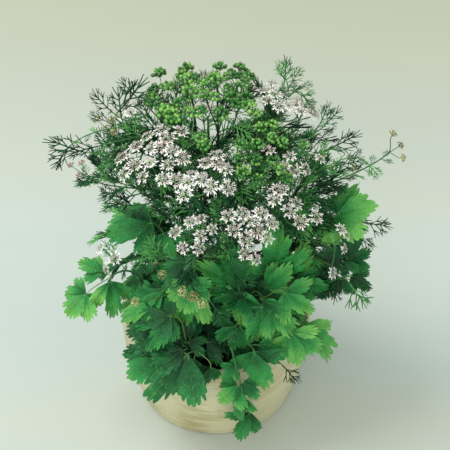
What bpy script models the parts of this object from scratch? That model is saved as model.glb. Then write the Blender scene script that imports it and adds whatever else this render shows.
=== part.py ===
# Potted coriander in flower and fruit: a bowl pot, soil, broad basal fronds, flowering stems and heads.
# Metres, +Z up. The origin is the centre of the pot's underside, and the front faces -Y.
import bpy
import bmesh
import math
import random
from mathutils import Quaternion, Vector
from mathutils.bvhtree import BVHTree

MM = 0.001

# Pot
POT_HEIGHT = 108 * MM
FOOT_RADIUS = 78.5 * MM
RIM_RADIUS = 98 * MM
WALL = 6 * MM
FLOOR_THICKNESS = 9 * MM
LIP_ROUND = 2.5 * MM
POT_SIDES = 32

# Soil
SOIL_TOP = 94 * MM
SOIL_SIDES = 24
SOIL_GAP = 0.4 * MM
CRUMB = 2.5 * MM
ROOT_DEPTH = 22 * MM
HOLE_DEPTH = 25 * MM

# Stems and leaf stalks
GAP = 0.3 * MM
CLEARANCE = 0.25 * MM
STRAIGHT_RISE = 4 * MM
STEM_RADIUS = 2.2 * MM
STEM_TIP_RADIUS = 1.1 * MM
TWIG_RADIUS = 1 * MM
STALK_RADIUS = 1.5 * MM
STALK_TIP_RADIUS = 0.9 * MM
STEM_HOLE = 3.2 * MM
STALK_HOLE = 2.6 * MM
BRANCH_DROP = 30 * MM
STALK_BEND = 14 * MM
TWIG_BEND = 22 * MM

# Blades and needles
BLADE_THICKNESS = 0.8 * MM
BLADE_FOOT = 0.7 * MM
BLADE_DROOP = 0.22
LEAFLET_STALK = 0.42 * MM
JOINT_SETBACK = 1.2 * MM
JOINT_STEP = 0.7 * MM
RACHIS_RADIUS = 0.7 * MM
FEATHER_STALK_RADIUS = 0.8 * MM
NEEDLE_PAIRS = 3
NEEDLE_REACH = 0.4

# Heads
HUB_RADIUS = 1.4 * MM
RAY_RADIUS = 0.55 * MM
FRUIT_RADIUS = 2.1 * MM
FRUIT_STALK = 2.6 * MM
KNOB_RADIUS = 0.9 * MM
HUB_SINK = 0.9
TWIN_DROP = 14 * MM
TWIN_RADIUS = 0.8 * MM
TWIN_BEND = 12 * MM
SMALL_UMBEL = 14.5 * MM
LARGE_UMBEL = 19.5 * MM

# The crown is a dome. A head sits where the line of sight through its place meets the dome.
CROWN_CENTRE = Vector((5 * MM, 16 * MM, 202 * MM))
CROWN_RADII = Vector((152 * MM, 130 * MM, 174 * MM))

# Places on the front are given in a view from 1.8 m away, looking 40 degrees down, in which a metre
# at a distance of one metre spans 1800 units and the middle is at 225
VIEW_TILT = math.radians(40)
VIEW_DISTANCE = 1.8
VIEW_TARGET = Vector((9.2 * MM, 0, 218.1 * MM))
VIEW_PIXELS = 1800
VIEW_MIDDLE = 225
TOWARD_VIEW = Vector((0, -math.cos(VIEW_TILT), math.sin(VIEW_TILT)))
VIEW_UP = Vector((0, math.sin(VIEW_TILT), math.cos(VIEW_TILT)))
EYE = VIEW_TARGET + VIEW_DISTANCE * TOWARD_VIEW

# Broad fronds. root: where the stalk enters the soil, x and y in mm. node: where it forks, as a place in
# the view and the depth in mm, negative towards the front. Each leaflet: the place of its base, the place
# of its tip, depth of the base, depth of the tip, and breadth over length.
FRONDS = {
    "broad_frond_left_low": dict(root=(-62, -6), node=(111, 277, -30), leaflets=(
        (88, 290, 69, 320, -36, -50, 1.2),
        (102, 272, 74, 261, -24, -18, 1.0),
        (111, 281, 111, 322, -40, -60, 0.8))),
    "broad_frond_left_high": dict(root=(-50, 18), node=(158, 227, -12), leaflets=(
        (151, 223, 101, 241, -14, -26, 0.9),
        (163, 233, 172, 258, -24, -46, 1.0))),
    "broad_frond_left_edge": dict(root=(-46, -24), node=(160, 289, -62), leaflets=(
        (164, 290, 117, 323, -66, -82, 0.42),)),
    "broad_frond_pale": dict(root=(-20, -36), node=(192, 279, -78), leaflets=(
        (190, 285, 189, 318, -86, -102, 1.3),
        (196, 292, 174, 330, -70, -84, 0.9))),
    "broad_frond_front_left": dict(root=(-36, -48), node=(185, 346, -86), leaflets=(
        (150, 350, 120, 358, -80, -84, 1.0),
        (181, 349, 136, 341, -94, -92, 0.85))),
    "broad_frond_front_low": dict(root=(-16, -64), node=(196, 352, -94), leaflets=(
        (183, 358, 152, 403, -108, -122, 1.0),
        (212, 359, 205, 388, -106, -116, 0.75),
        (222, 352, 226, 374, -94, -106, 0.9))),
    "broad_frond_centre": dict(root=(8, -30), node=(244, 298, -54), leaflets=(
        (243, 292, 210, 249, -58, -70, 0.95),)),
    "broad_frond_centre_high": dict(root=(24, -16), node=(264, 284, -44), leaflets=(
        (275, 273, 275, 229, -46, -58, 0.75),
        (263, 274, 249, 264, -50, -56, 0.9),
        (266, 288, 290, 271, -58, -70, 0.62))),
    "broad_frond_right_high": dict(root=(44, -10), node=(288, 282, -36), leaflets=(
        (292, 276, 310, 245, -36, -44, 0.85),
        (294, 280, 331, 288, -46, -58, 0.65))),
    "broad_frond_right_mid": dict(root=(34, -40), node=(264, 298, -66), leaflets=(
        (284, 292, 316, 317, -76, -92, 1.0),
        (262, 300, 284, 314, -82, -92, 0.55),
        (262, 306, 256, 344, -76, -90, 1.1))),
    "broad_frond_right_low": dict(root=(58, -34), node=(298, 322, -70), leaflets=(
        (299, 330, 301, 371, -86, -102, 1.0),
        (303, 325, 342, 358, -72, -80, 0.6))),
    "broad_frond_right_top": dict(root=(58, 16), node=(335, 222, -14), leaflets=(
        (340, 218, 373, 203, -18, -26, 1.2),
        (333, 230, 322, 247, -24, -34, 0.9))),
    "broad_frond_right_dark": dict(root=(64, -8), node=(345, 268, -22), leaflets=(
        (350, 260, 373, 250, -20, -18, 1.0),
        (351, 275, 372, 292, -30, -38, 0.85),
        (342, 277, 333, 300, -34, -46, 0.8))),
    "broad_frond_front_right": dict(root=(32, -60), node=(250, 346, -90), leaflets=(
        (254, 351, 264, 392, -104, -118, 1.05),
        (258, 345, 284, 352, -92, -96, 0.8))),
    "broad_frond_hanging": dict(root=(12, -68), node=(246, 412, -121), leaflets=(
        (236, 386, 216, 406, -120, -126, 0.55),
        (241, 396, 233, 421, -125, -130, 0.85),
        (246, 417, 231, 444, -124, -122, 0.75),
        (244, 385, 257, 403, -122, -128, 0.9))),
}
# Stalks that hang over the rim go by a crest first: place in the view and depth.
FROND_CRESTS = {
    "broad_frond_hanging": (231, 352, -102),
}

# Fronds at the back: the way they point and the height of their fork
BACK_FRONDS = {
    "broad_frond_back_right": dict(azimuth=38, height=172, root=52),
    "broad_frond_back": dict(azimuth=88, height=158, root=54),
    "broad_frond_back_left": dict(azimuth=139, height=176, root=50),
}
BACK_REACH = 92 * MM
BACK_LEAFLET = 44 * MM

# Flowering stems: where they enter the soil, x and y in mm, and the head that ends them
STEMS = {
    "flowering_stem_1": dict(root=(-34, 4), head="fruit_head_far_left"),
    "flowering_stem_2": dict(root=(-14, 16), head="fruit_head_left"),
    "flowering_stem_3": dict(root=(2, 36), head="fruit_head_top"),
    "flowering_stem_4": dict(root=(-24, -14), head="fruit_head_mid_left"),
    "flowering_stem_5": dict(root=(2, -6), head="fruit_head_middle"),
    "flowering_stem_6": dict(root=(22, 20), head="flower_head_top_right"),
    "flowering_stem_7": dict(root=(28, 2), head="fruit_head_right"),
    "flowering_stem_8": dict(root=(46, 8), head="flower_head_right"),
    "flowering_stem_9": dict(root=(0, -46), head="flower_head_front"),
}

# Heads in the view: the place of each umbel and its radius in mm
FRUIT_HEADS = {
    "fruit_head_far_left": ((160, 90, 20),),
    "fruit_head_left": ((189, 77, 17),),
    "fruit_head_top": ((217, 74, 17), (243, 77, 15)),
    "fruit_head_low_left": ((178, 111, 17),),
    "fruit_head_mid_left": ((207, 108, 19), (203, 140, 12)),
    "fruit_head_upper": ((237, 104, 16),),
    "fruit_head_right": ((269, 130, 21),),
    "fruit_head_middle": ((248, 153, 23),),
    "fruit_head_low_right": ((282, 168, 19), (305, 143, 9)),
}
FLOWER_HEADS = {
    "flower_head_left": ((163, 134, 24), (155, 172, 20)),
    "flower_head_outer_left": ((130, 158, 20),),
    "flower_head_mid_left": ((188, 182, 19), (214, 173, 16)),
    "flower_head_bud_left": ((75, 167, 14),),
    "flower_head_far_left": ((104, 123, 14),),
    "flower_head_top_right": ((278, 93, 25), (302, 104, 13)),
    "flower_head_right": ((320, 159, 14), (297, 160, 13)),
    "flower_head_outer_right": ((354, 161, 12),),
    "flower_head_far_right": ((397, 146, 13),),
    "flower_head_front": ((238, 226, 22), (261, 226, 22)),
    "flower_head_front_right": ((289, 206, 19), (315, 217, 16)),
    "flower_head_low_right": ((345, 238, 15), (335, 271, 9)),
    "flower_head_front_left": ((186, 240, 20), (204, 223, 13)),
    "flower_head_low_left": ((110, 258, 12),),
    "flower_head_faded": ((190, 297, 16), (162, 276, 12)),
    "flower_head_brown": ((133, 303, 9),),
    "flower_head_centre": ((251, 257, 12),),
}
# Heads on the back of the dome: azimuth, height angle in degrees and radius in mm
BACK_HEADS = {
    "fruit_head_back": ((80, 50, 19),),
    "flower_head_back_right": ((48, 32, 21),),
    "flower_head_back": ((98, 22, 22),),
    "flower_head_back_left": ((140, 36, 20),),
}

# Feathery leaves that stand out of the crown: place of the root, place of the tip, depth
OUTER_FEATHERS = (
    (84, 152, 44, 141, -4),
    (98, 146, 62, 168, -12),
    (112, 112, 90, 92, 18),
    (138, 98, 118, 80, 28),
    (284, 86, 288, 57, 40),
    (296, 92, 318, 104, 30),
    (322, 128, 342, 108, 18),
    (330, 148, 362, 136, 6),
    (336, 166, 366, 160, -4),
    (366, 162, 382, 178, -10),
    (364, 226, 393, 234, -16),
    (338, 280, 334, 304, -52),
    (350, 284, 366, 312, -44),
    (114, 200, 100, 184, -10),
    (226, 214, 214, 196, -66),
    (206, 306, 222, 326, -96),
    (146, 104, 151, 88, 30),
    (356, 236, 376, 250, -30),
    (262, 196, 250, 176, -60),
)
FEATHERS_PER_STEM = 2
FEATHER_LENGTH = 44 * MM

GREENS = {
    "broad": (0.05, 0.22, 0.05, 1),
    "stem": (0.04, 0.16, 0.05, 1),
    "fruit": (0.12, 0.36, 0.08, 1),
}


def clear_scene():
    for thing in list(bpy.data.objects):
        bpy.data.objects.remove(thing, do_unlink=True)


def material(name, colour, roughness):
    made = bpy.data.materials.new(name)
    made.use_nodes = True
    surface = made.node_tree.nodes["Principled BSDF"]
    surface.inputs["Base Color"].default_value = colour
    surface.inputs["Roughness"].default_value = roughness
    surface.inputs["Metallic"].default_value = 0
    return made


# Places

def seen(across, down, depth):
    # The point on the line of sight through a place in the view, at a depth in metres
    sight = -TOWARD_VIEW
    sight = sight + Vector((1, 0, 0)) * ((across - VIEW_MIDDLE) / VIEW_PIXELS)
    sight = sight + VIEW_UP * ((VIEW_MIDDLE - down) / VIEW_PIXELS)
    return EYE + sight * ((depth - EYE.y) / sight.y)


def on_crown(across, down):
    # Where that line first meets the crown's dome, or passes nearest to it
    start = seen(across, down, -0.5)
    step = seen(across, down, 0.5) - start
    near = Vector([(start[i] - CROWN_CENTRE[i]) / CROWN_RADII[i] for i in range(3)])
    way = Vector([step[i] / CROWN_RADII[i] for i in range(3)])
    square = way.dot(way)
    half = near.dot(way)
    rest = half * half - square * (near.dot(near) - 1)
    return start + step * ((-half - math.sqrt(max(rest, 0))) / square)


def on_crown_back(azimuth, height):
    turn = math.radians(azimuth)
    rise = math.radians(height)
    way = Vector((math.cos(turn) * math.cos(rise), math.sin(turn) * math.cos(rise), math.sin(rise)))
    return CROWN_CENTRE + Vector([way[i] * CROWN_RADII[i] for i in range(3)])


def outward(point):
    # The way a head faces: out of the crown and a little up
    away = point - CROWN_CENTRE
    return Vector((away.x, away.y, away.z + 90 * MM)).normalized()


def head_places():
    places = {}
    for heads in (FRUIT_HEADS, FLOWER_HEADS):
        for name, umbels in heads.items():
            places[name] = [(on_crown(across, down), radius * MM) for across, down, radius in umbels]
    for name, umbels in BACK_HEADS.items():
        places[name] = [(on_crown_back(turn, rise), radius * MM) for turn, rise, radius in umbels]
    return places


def umbel_foot(place, radius):
    # The hub lies below the spread of the rays
    return place - outward(place) * radius * HUB_SINK


# Curves

def bezier(start, start_handle, end_handle, end, steps):
    points = []
    for i in range(steps + 1):
        t = i / steps
        s = 1 - t
        points.append(s**3 * start + 3 * s * s * t * start_handle + 3 * s * t * t * end_handle + t**3 * end)
    return points


def bowed(points, bow):
    # The same path, pushed aside most at its middle and not at all at its ends
    last = len(points) - 1
    return [point + bow * math.sin(math.pi * i / last) for i, point in enumerate(points)]


def root_point(place):
    return Vector((place[0] * MM, place[1] * MM, SOIL_TOP - ROOT_DEPTH))


def rising_path(root, goal, arrival, steps):
    # Straight up through the soil's hole, then a long bend out to the goal
    foot = root_point(root)
    clear = foot + Vector((0, 0, ROOT_DEPTH + STRAIGHT_RISE))
    span = (goal - clear).length
    up = Vector((0, 0, 1))
    return [foot] + bezier(clear, clear + up * span * 0.4, goal - arrival * span * 0.35, goal, steps)


# Shapes: each is a list of corners and a list of faces, closed and facing out

def square_to(way, guess):
    side = guess - way * guess.dot(way)
    if side.length < 1e-6:
        side = way.orthogonal()
    return side.normalized()


def tube(points, start_radius, end_radius, sides):
    corners = []
    faces = []
    last = len(points) - 1
    side = (points[1] - points[0]).orthogonal().normalized()
    for i, point in enumerate(points):
        way = (points[min(i + 1, last)] - points[max(i - 1, 0)]).normalized()
        side = square_to(way, side)
        other = way.cross(side)
        radius = start_radius + (end_radius - start_radius) * i / last
        for k in range(sides):
            turn = 2 * math.pi * k / sides
            corners.append(point + radius * (math.cos(turn) * side + math.sin(turn) * other))
    for i in range(last):
        for k in range(sides):
            a = i * sides + k
            b = i * sides + (k + 1) % sides
            faces.append((a, b, b + sides))
            faces.append((a, b + sides, a + sides))
    faces.append(tuple(reversed(range(sides))))
    faces.append(tuple(range(last * sides, (last + 1) * sides)))
    return corners, faces


def leaf_rim():
    # The toothed outline as (angle in degrees, reach): three lobes, two teeth at each side lobe
    half = [(0, 1.0), (9, 0.86), (17, 0.9), (28, 0.54), (40, 0.86), (52, 0.68), (66, 0.78)]
    left = [(-angle, reach) for angle, reach in reversed(half[1:])]
    return left + half


def leaflet(base, tip, face, breadth, droop, stalk):
    # A thin arched blade, split into triangles alike on both faces, that grows out of its short stalk
    along = tip - base
    length = along.length
    along.normalize()
    normal = square_to(along, face)
    side = along.cross(normal)
    top = [base + side * BLADE_FOOT, base - side * BLADE_FOOT]
    for angle, reach in leaf_rim():
        turn = math.radians(angle)
        out = math.sin(turn) * reach * breadth / 1.42
        forward = math.cos(turn) * reach
        sink = droop * forward * forward + 0.5 * droop * out * out
        top.append(base + length * (along * forward + side * out - normal * sink))
    top.append(base + length * (along * 0.42 + normal * 0.02))
    hub = len(top) - 1
    corners = top + [corner - normal * BLADE_THICKNESS for corner in top]
    count = len(top)
    faces = []
    for i in range(hub):
        j = (i + 1) % hub
        faces.append((i, hub, j))
        faces.append((count + i, count + j, count + hub))
        if i:
            faces.append((i, j, j + count))
            faces.append((i, j + count, i + count))
    mouth = (0, 1, count + 1, count)
    ahead = base
    for point in reversed(stalk):
        start = len(corners)
        way = (ahead - point).normalized()
        across = square_to(way, side)
        upright = across.cross(way)
        ahead = point
        for right, up in ((1, 1), (-1, 1), (-1, -1), (1, -1)):
            corners.append(point + (across * right + upright * up) * LEAFLET_STALK)
        ring = (start, start + 1, start + 2, start + 3)
        bridge(faces, mouth, ring)
        mouth = ring
    faces.append(mouth)
    return corners, faces


def feather(root, along, face, length, stalk=()):
    # A finely cut leaf on its stalk: a slim three-sided rib whose sides are drawn out into needles
    normal = square_to(along, face)
    side = along.cross(normal)
    corners = []
    faces = []
    spine = [(point, FEATHER_STALK_RADIUS) for point in stalk]
    for distance in [0] + [0.3 + 0.6 * pair / NEEDLE_PAIRS for pair in range(NEEDLE_PAIRS + 1)]:
        middle = root + along * length * distance - normal * length * 0.2 * distance * distance
        spine.append((middle, RACHIS_RADIUS * (1 - 0.4 * distance)))
    bare = len(stalk) + 1
    for i, (middle, radius) in enumerate(spine):
        ahead = spine[min(i + 1, len(spine) - 1)][0] - spine[max(i - 1, 0)][0]
        across = square_to(ahead.normalized(), side)
        ridge = across.cross(ahead.normalized())
        corners += [middle + across * radius, middle - across * radius, middle + ridge * radius]
    for i in range(len(spine) - 1):
        right, left, ridge = 3 * i, 3 * i + 1, 3 * i + 2
        for a, b, way in ((left, ridge, -1), (ridge, right, 1), (right, left, 0)):
            low = (a, b, b + 3) if way > 0 else (a, b, a + 3)
            high = (a, b + 3, a + 3) if way > 0 else (b, b + 3, a + 3)
            faces.append(low)
            if i >= bare and way:
                reach = length * (NEEDLE_REACH - 0.07 * (i - bare))
                needle = reach * (side * way * 0.8 + along * 0.6 + normal * 0.05)
                corners.append(middle_of(corners, high) + needle)
                cap(faces, high, len(corners) - 1)
            else:
                faces.append(high)
    corners.append(root + along * length * 1.1 - normal * length * 0.24)
    end = 3 * (len(spine) - 1)
    cap(faces, (end, end + 1, end + 2), len(corners) - 1)
    faces.append((2, 1, 0))
    return corners, faces


def hub_faces(centre, up, radius, spin, rays):
    # A small hub: its upper faces bear the rays, and as many lower faces close it
    side = Quaternion(up, spin) @ square_to(up, Vector((1, 0.3, 0.2)))
    other = up.cross(side)
    corners = [centre + up * radius * 0.6]
    for k in range(rays):
        turn = 2 * math.pi * k / rays
        corners.append(centre + radius * (math.cos(turn) * side + math.sin(turn) * other))
    corners.append(centre - up * radius)
    upper = [(0, 1 + k, 1 + (k + 1) % rays) for k in range(rays)]
    lower = [(rays + 1, 1 + (k + 1) % rays, 1 + k) for k in range(rays)]
    return corners, upper, lower


def ring_of_three(corners, middle, way, like, radius, turned):
    # Three corners round a middle, in step with the three of a face, or half a step on
    start = len(corners)
    for k in range(3):
        side = square_to(way, corners[like[k]] - middle)
        if turned:
            side = -square_to(way, corners[like[(k + 2) % 3]] - middle)
        corners.append(middle + side * radius)
    return (start, start + 1, start + 2)


def bridge(faces, low, high):
    count = len(low)
    for k in range(count):
        j = (k + 1) % count
        faces.append((low[k], low[j], high[j]))
        faces.append((low[k], high[j], high[k]))


def cap(faces, ring, peak):
    for k in range(len(ring)):
        faces.append((ring[k], ring[(k + 1) % len(ring)], peak))


def middle_of(corners, ring):
    return sum((corners[k] for k in ring), Vector()) / len(ring)


def floret(corners, faces, ring, centre, way, radius):
    # A five-petalled floret, larger than life, that opens from the end of a ray
    side = square_to(way, corners[ring[0]] - centre)
    other = way.cross(side)
    rim = []
    for k in range(10):
        turn = 2 * math.pi * k / 10
        reach = radius * (0.45 if k % 2 else 1.0)
        lift = radius * (0.18 if k % 2 else 0.34)
        corners.append(centre + way * lift + reach * (math.cos(turn) * side + math.sin(turn) * other))
        rim.append(len(corners) - 1)
    starts = (0, 3, 7, 10)
    for k in range(3):
        for m in range(starts[k], starts[k + 1]):
            faces.append((ring[k], rim[(m + 1) % 10], rim[m]))
        faces.append((ring[k], ring[(k + 1) % 3], rim[starts[k + 1] % 10]))
    corners.append(centre + way * radius * 0.3)
    cap(faces, rim, len(corners) - 1)


def fruit(corners, faces, face, radius, reach):
    # One round fruit on its short stalk, drawn out of a face of the ray's end
    root = middle_of(corners, face)
    a, b, c = (corners[k] for k in face)
    way = (b - a).cross(c - a).normalized()
    low = ring_of_three(corners, root + way * (reach - radius * 0.45), way, face, radius, False)
    high = ring_of_three(corners, root + way * (reach + radius * 0.75), way, low, radius * 0.9, True)
    bridge(faces, face, low)
    for k in range(3):
        j = (k + 1) % 3
        faces.append((low[k], low[j], high[k]))
        faces.append((low[j], high[j], high[k]))
    faces.append(high)


def fruit_bunch(corners, faces, ring, centre, way):
    # The ray's end swells into a knob of seven faces, three of which bear fruit
    base = ring_of_three(corners, centre, way, ring, KNOB_RADIUS, False)
    crest = ring_of_three(corners, centre + way * 1.4 * KNOB_RADIUS, way, base, KNOB_RADIUS, True)
    bridge(faces, ring, base)
    for k in range(3):
        j = (k + 1) % 3
        faces.append((base[k], base[j], crest[k]))
        fruit(corners, faces, (base[j], crest[j], crest[k]), FRUIT_RADIUS, FRUIT_STALK)
    faces.append(crest)


def umbel(place, radius, fruiting, spin, swell):
    # Rays grow out of the hub's upper faces, and each ends in fruit or in a floret
    up = outward(place)
    centre = umbel_foot(place, radius)
    rays = 3 + (radius > SMALL_UMBEL) + (radius > LARGE_UMBEL)
    corners, upper, faces = hub_faces(centre, up, HUB_RADIUS, spin, rays)
    for face in upper:
        a, b, c = (corners[corner] for corner in face)
        way = (b - a).cross(c - a).normalized()
        end = middle_of(corners, face) + way * radius * swell
        ring = ring_of_three(corners, end, way, face, RAY_RADIUS, False)
        bridge(faces, face, ring)
        if fruiting:
            fruit_bunch(corners, faces, ring, end + way * 1.2 * MM, way)
        else:
            floret(corners, faces, ring, end, way, radius * 0.42 * swell)
    return corners, faces


# Keeping clear

placed = {}
grown = {}


def tree_of(shape):
    corners, faces = shape
    return BVHTree.FromPolygons([tuple(corner) for corner in corners], faces)


def is_clear(shape, node):
    tree = tree_of(shape)
    for other, trees in placed.items():
        if other == node:
            continue
        for standing in trees:
            if tree.overlap(standing):
                return False
            for corner in shape[0]:
                if standing.find_nearest(corner, CLEARANCE)[0] is not None:
                    return False
    return True


def keep(node, shape):
    placed.setdefault(node, []).append(tree_of(shape))
    grown.setdefault(node, []).append(shape)


def grow(node, variants):
    # Adds the first of a shape's variants that touches no other node, or nothing
    for shape in variants:
        if is_clear(shape, node):
            keep(node, shape)
            return True
    return False


def bows(draw, path, largest):
    # A path and its sideways bends, from none to the largest
    yield path
    for i in range(1, 31):
        turn = draw.uniform(0, 2 * math.pi)
        size = largest * i / 30
        yield bowed(path, Vector((math.cos(turn), math.sin(turn), 0.6 * draw.uniform(-1, 1))) * size)


def grow_path(node, draw, path, largest, radii, sides, foot=()):
    # Grows a tube along a path, bent clear of the other nodes, and returns the path taken
    for bent in bows(draw, path, largest):
        if grow(node, (tube(list(foot) + bent, radii[0], radii[1], sides),)):
            return bent
    return None


def object_from(name, shape):
    mesh = bpy.data.meshes.new(name)
    corners, faces = shape
    mesh.from_pydata([tuple(corner) for corner in corners], [], faces)
    mesh.update()
    thing = bpy.data.objects.new(name, mesh)
    bpy.context.scene.collection.objects.link(thing)
    return thing


def soften(thing, angle):
    thing.data.shade_smooth()
    thing.data.set_sharp_from_angle(angle=math.radians(angle))


def largest_body(mesh):
    # Drops the loose scraps and the sealed hollows that fusing leaves, which are all tiny
    shell = bmesh.new()
    shell.from_mesh(mesh)
    bodies = []
    left = set(shell.verts)
    while left:
        front = [left.pop()]
        body = list(front)
        while front:
            corner = front.pop()
            for edge in corner.link_edges:
                other = edge.other_vert(corner)
                if other in left:
                    left.remove(other)
                    front.append(other)
                    body.append(other)
        bodies.append(body)
    bodies.sort(key=len)
    for body in bodies[:-1]:
        bmesh.ops.delete(shell, geom=body, context="VERTS")
    shell.to_mesh(mesh)
    shell.free()


def fused(name, shapes, surface):
    # One node: the first shape, joined with the rest by one Boolean union
    body = object_from(name, shapes[0])
    if len(shapes) > 1:
        rest = bpy.data.collections.new(name + "_parts")
        bpy.context.scene.collection.children.link(rest)
        for i, shape in enumerate(shapes[1:]):
            part = object_from(f"{name}_part_{i}", shape)
            bpy.context.scene.collection.objects.unlink(part)
            rest.objects.link(part)
        join = body.modifiers.new("join", "BOOLEAN")
        join.operation = "UNION"
        join.operand_type = "COLLECTION"
        join.solver = "MANIFOLD"
        join.collection = rest
        bpy.context.view_layer.update()
        whole = bpy.data.meshes.new_from_object(body.evaluated_get(bpy.context.evaluated_depsgraph_get()))
        body.modifiers.clear()
        body.data = whole
        largest_body(whole)
        for part in list(rest.objects):
            bpy.data.objects.remove(part, do_unlink=True)
        bpy.data.collections.remove(rest)
    body.data.materials.clear()
    body.data.materials.append(surface)
    return body


# Pot and soil

def pot_profile():
    # Down the outer side from the lip, across the foot, then up the inner side
    rise = POT_HEIGHT - LIP_ROUND
    outer = []
    for share in (1, 0.72, 0.46, 0.22, 0.06):
        outer.append((FOOT_RADIUS + (RIM_RADIUS - FOOT_RADIUS) * math.sin(share * math.pi / 2) ** 0.9,
                      rise * share))
    lip = [(RIM_RADIUS - WALL + LIP_ROUND * 0.6, POT_HEIGHT), (RIM_RADIUS - LIP_ROUND * 0.8, POT_HEIGHT)]
    foot = [(FOOT_RADIUS, 1 * MM), (FOOT_RADIUS - 1 * MM, 0)]
    inner = [(radius - WALL, height) for radius, height in reversed(outer[:-1])]
    floor = [(inner[0][0] - 6 * MM, FLOOR_THICKNESS)]
    return lip + outer + foot, floor + inner


def turned(profile, sides, top_middle, bottom_middle):
    # A profile spun round the upright axis and closed at the axis
    corners = []
    for radius, height in profile:
        for k in range(sides):
            turn = 2 * math.pi * k / sides
            corners.append(Vector((radius * math.cos(turn), radius * math.sin(turn), height)))
    faces = []
    for i in range(len(profile) - 1):
        for k in range(sides):
            a = i * sides + k
            b = i * sides + (k + 1) % sides
            faces.append((a, a + sides, b + sides))
            faces.append((a, b + sides, b))
    corners.append(Vector((0, 0, top_middle)))
    corners.append(Vector((0, 0, bottom_middle)))
    first = len(corners) - 2
    last = (len(profile) - 1) * sides
    for k in range(sides):
        j = (k + 1) % sides
        faces.append((first, k, j))
        faces.append((first + 1, last + j, last + k))
    return corners, faces


def make_pot(surface):
    outer, inner = pot_profile()
    shape = turned(inner + outer, POT_SIDES, FLOOR_THICKNESS, 0)
    placed["pot"] = [tree_of(shape)]
    pot = object_from("pot", shape)
    soften(pot, 35)
    pot.data.materials.append(surface)
    return pot


def inner_radius(height):
    # The pot's inner radius at a height, straight between the profile's points
    inner = pot_profile()[1]
    for (low_radius, low), (high_radius, high) in zip(inner, inner[1:]):
        if low <= height <= high:
            return low_radius + (high_radius - low_radius) * (height - low) / (high - low)
    return inner[-1][0]


def make_soil(holes, surface):
    draw = random.Random(11)
    low = FLOOR_THICKNESS + GAP
    fit = math.cos(math.pi / POT_SIDES)
    heights = [low + 6 * MM, 50 * MM, SOIL_TOP - 3 * MM]
    wall = [(inner_radius(height) * fit - SOIL_GAP, height) for height in heights]
    wall = [(wall[0][0] - 7 * MM, low)] + wall
    top = [(wall[-1][0] - 5 * MM, SOIL_TOP), (wall[-1][0] * 0.55, SOIL_TOP)]
    corners, faces = turned((wall + top)[::-1], SOIL_SIDES, SOIL_TOP, low)
    for corner in corners:
        if abs(corner.z - SOIL_TOP) < 0.01 * MM:
            corner.z += draw.uniform(-0.5, 0.5) * CRUMB
    soil = object_from("potting_soil", (corners, faces))
    cuts = bpy.data.collections.new("stem_holes")
    bpy.context.scene.collection.children.link(cuts)
    for (across, away), radius in holes:
        foot = Vector((across * MM, away * MM, SOIL_TOP - HOLE_DEPTH))
        mouth = foot + Vector((0, 0, HOLE_DEPTH * 2))
        hole = object_from("stem_hole", tube([foot, mouth], radius, radius, 4))
        hole.hide_render = True
        hole.display_type = "WIRE"
        bpy.context.scene.collection.objects.unlink(hole)
        cuts.objects.link(hole)
    bore = soil.modifiers.new("stem holes", "BOOLEAN")
    bore.operation = "DIFFERENCE"
    bore.operand_type = "COLLECTION"
    bore.solver = "MANIFOLD"
    bore.collection = cuts
    bpy.context.view_layer.update()
    whole = bpy.data.meshes.new_from_object(soil.evaluated_get(bpy.context.evaluated_depsgraph_get()))
    soil.modifiers.clear()
    soil.data = whole
    for hole in list(cuts.objects):
        bpy.data.objects.remove(hole, do_unlink=True)
    bpy.data.collections.remove(cuts)
    soil.data.materials.clear()
    soil.data.materials.append(surface)
    placed["potting_soil"] = [BVHTree.FromObject(soil, bpy.context.evaluated_depsgraph_get())]
    return soil


# Fronds

def leaflet_variants(base, tip, face, breadth, fork):
    # As seen, then slid along the line of sight or tipped about its rib until it is clear
    along = (tip - base).normalized()
    for slide in (0, 3, -3, 6, -6, 9, -9, 12, -12, 16, -16, 20, -20):
        shift = TOWARD_VIEW * slide * MM
        start = base + shift
        reach = (start - fork).length
        way = bezier(fork, fork + (start - fork) * 0.35, start - along * reach * 0.35, start, 1)
        for tip_over in (0, 0.25, -0.25, 0.5, -0.5):
            leaf_face = Quaternion(along, tip_over) @ face
            yield leaflet(start, tip + shift, leaf_face, breadth, BLADE_DROOP, way[:1])


def grow_frond(name, root, fork, arrival, leaflets, crest):
    draw = random.Random(name)
    if crest is None:
        path = rising_path(root, fork, arrival, 5)
    else:
        away = (fork - crest).normalized()
        path = rising_path(root, crest, away, 5)
        path += bezier(crest, crest + away * 12 * MM, fork + Vector((0, 0, 14 * MM)), fork, 3)[1:]
    radii = (STALK_RADIUS, STALK_TIP_RADIUS)
    way = grow_path(name, draw, path[1:], STALK_BEND, radii, 4, path[:1])
    if way is None:
        print("no room for the stalk of", name)
        return
    back = (way[-2] - way[-1]).normalized()
    for i, (base, tip, face, breadth) in enumerate(leaflets):
        joint = way[-1] + back * (JOINT_SETBACK + JOINT_STEP * i)
        if crest is not None:
            joint = min(way[2:-1] + [joint], key=lambda point: (point - base).length)
        if not grow(name, leaflet_variants(base, tip, face, breadth, joint)):
            print("no room for a leaflet of", name)


def grow_front_frond(name, facts):
    draw = random.Random(name)
    across, down, depth = facts["node"]
    fork = seen(across, down, depth * MM)
    leaflets = []
    arrival = Vector()
    for base_x, base_y, tip_x, tip_y, base_depth, tip_depth, breadth in facts["leaflets"]:
        base = seen(base_x, base_y, base_depth * MM)
        tip = seen(tip_x, tip_y, tip_depth * MM)
        tilt = Vector((draw.uniform(-0.3, 0.3), draw.uniform(-0.2, 0.2), draw.uniform(0, 0.5)))
        leaflets.append((base, tip, TOWARD_VIEW + tilt, breadth))
        arrival += (tip - base).normalized()
    crest = FROND_CRESTS.get(name)
    if crest is not None:
        crest = seen(crest[0], crest[1], crest[2] * MM)
    grow_frond(name, facts["root"], fork, arrival.normalized(), leaflets, crest)


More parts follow.
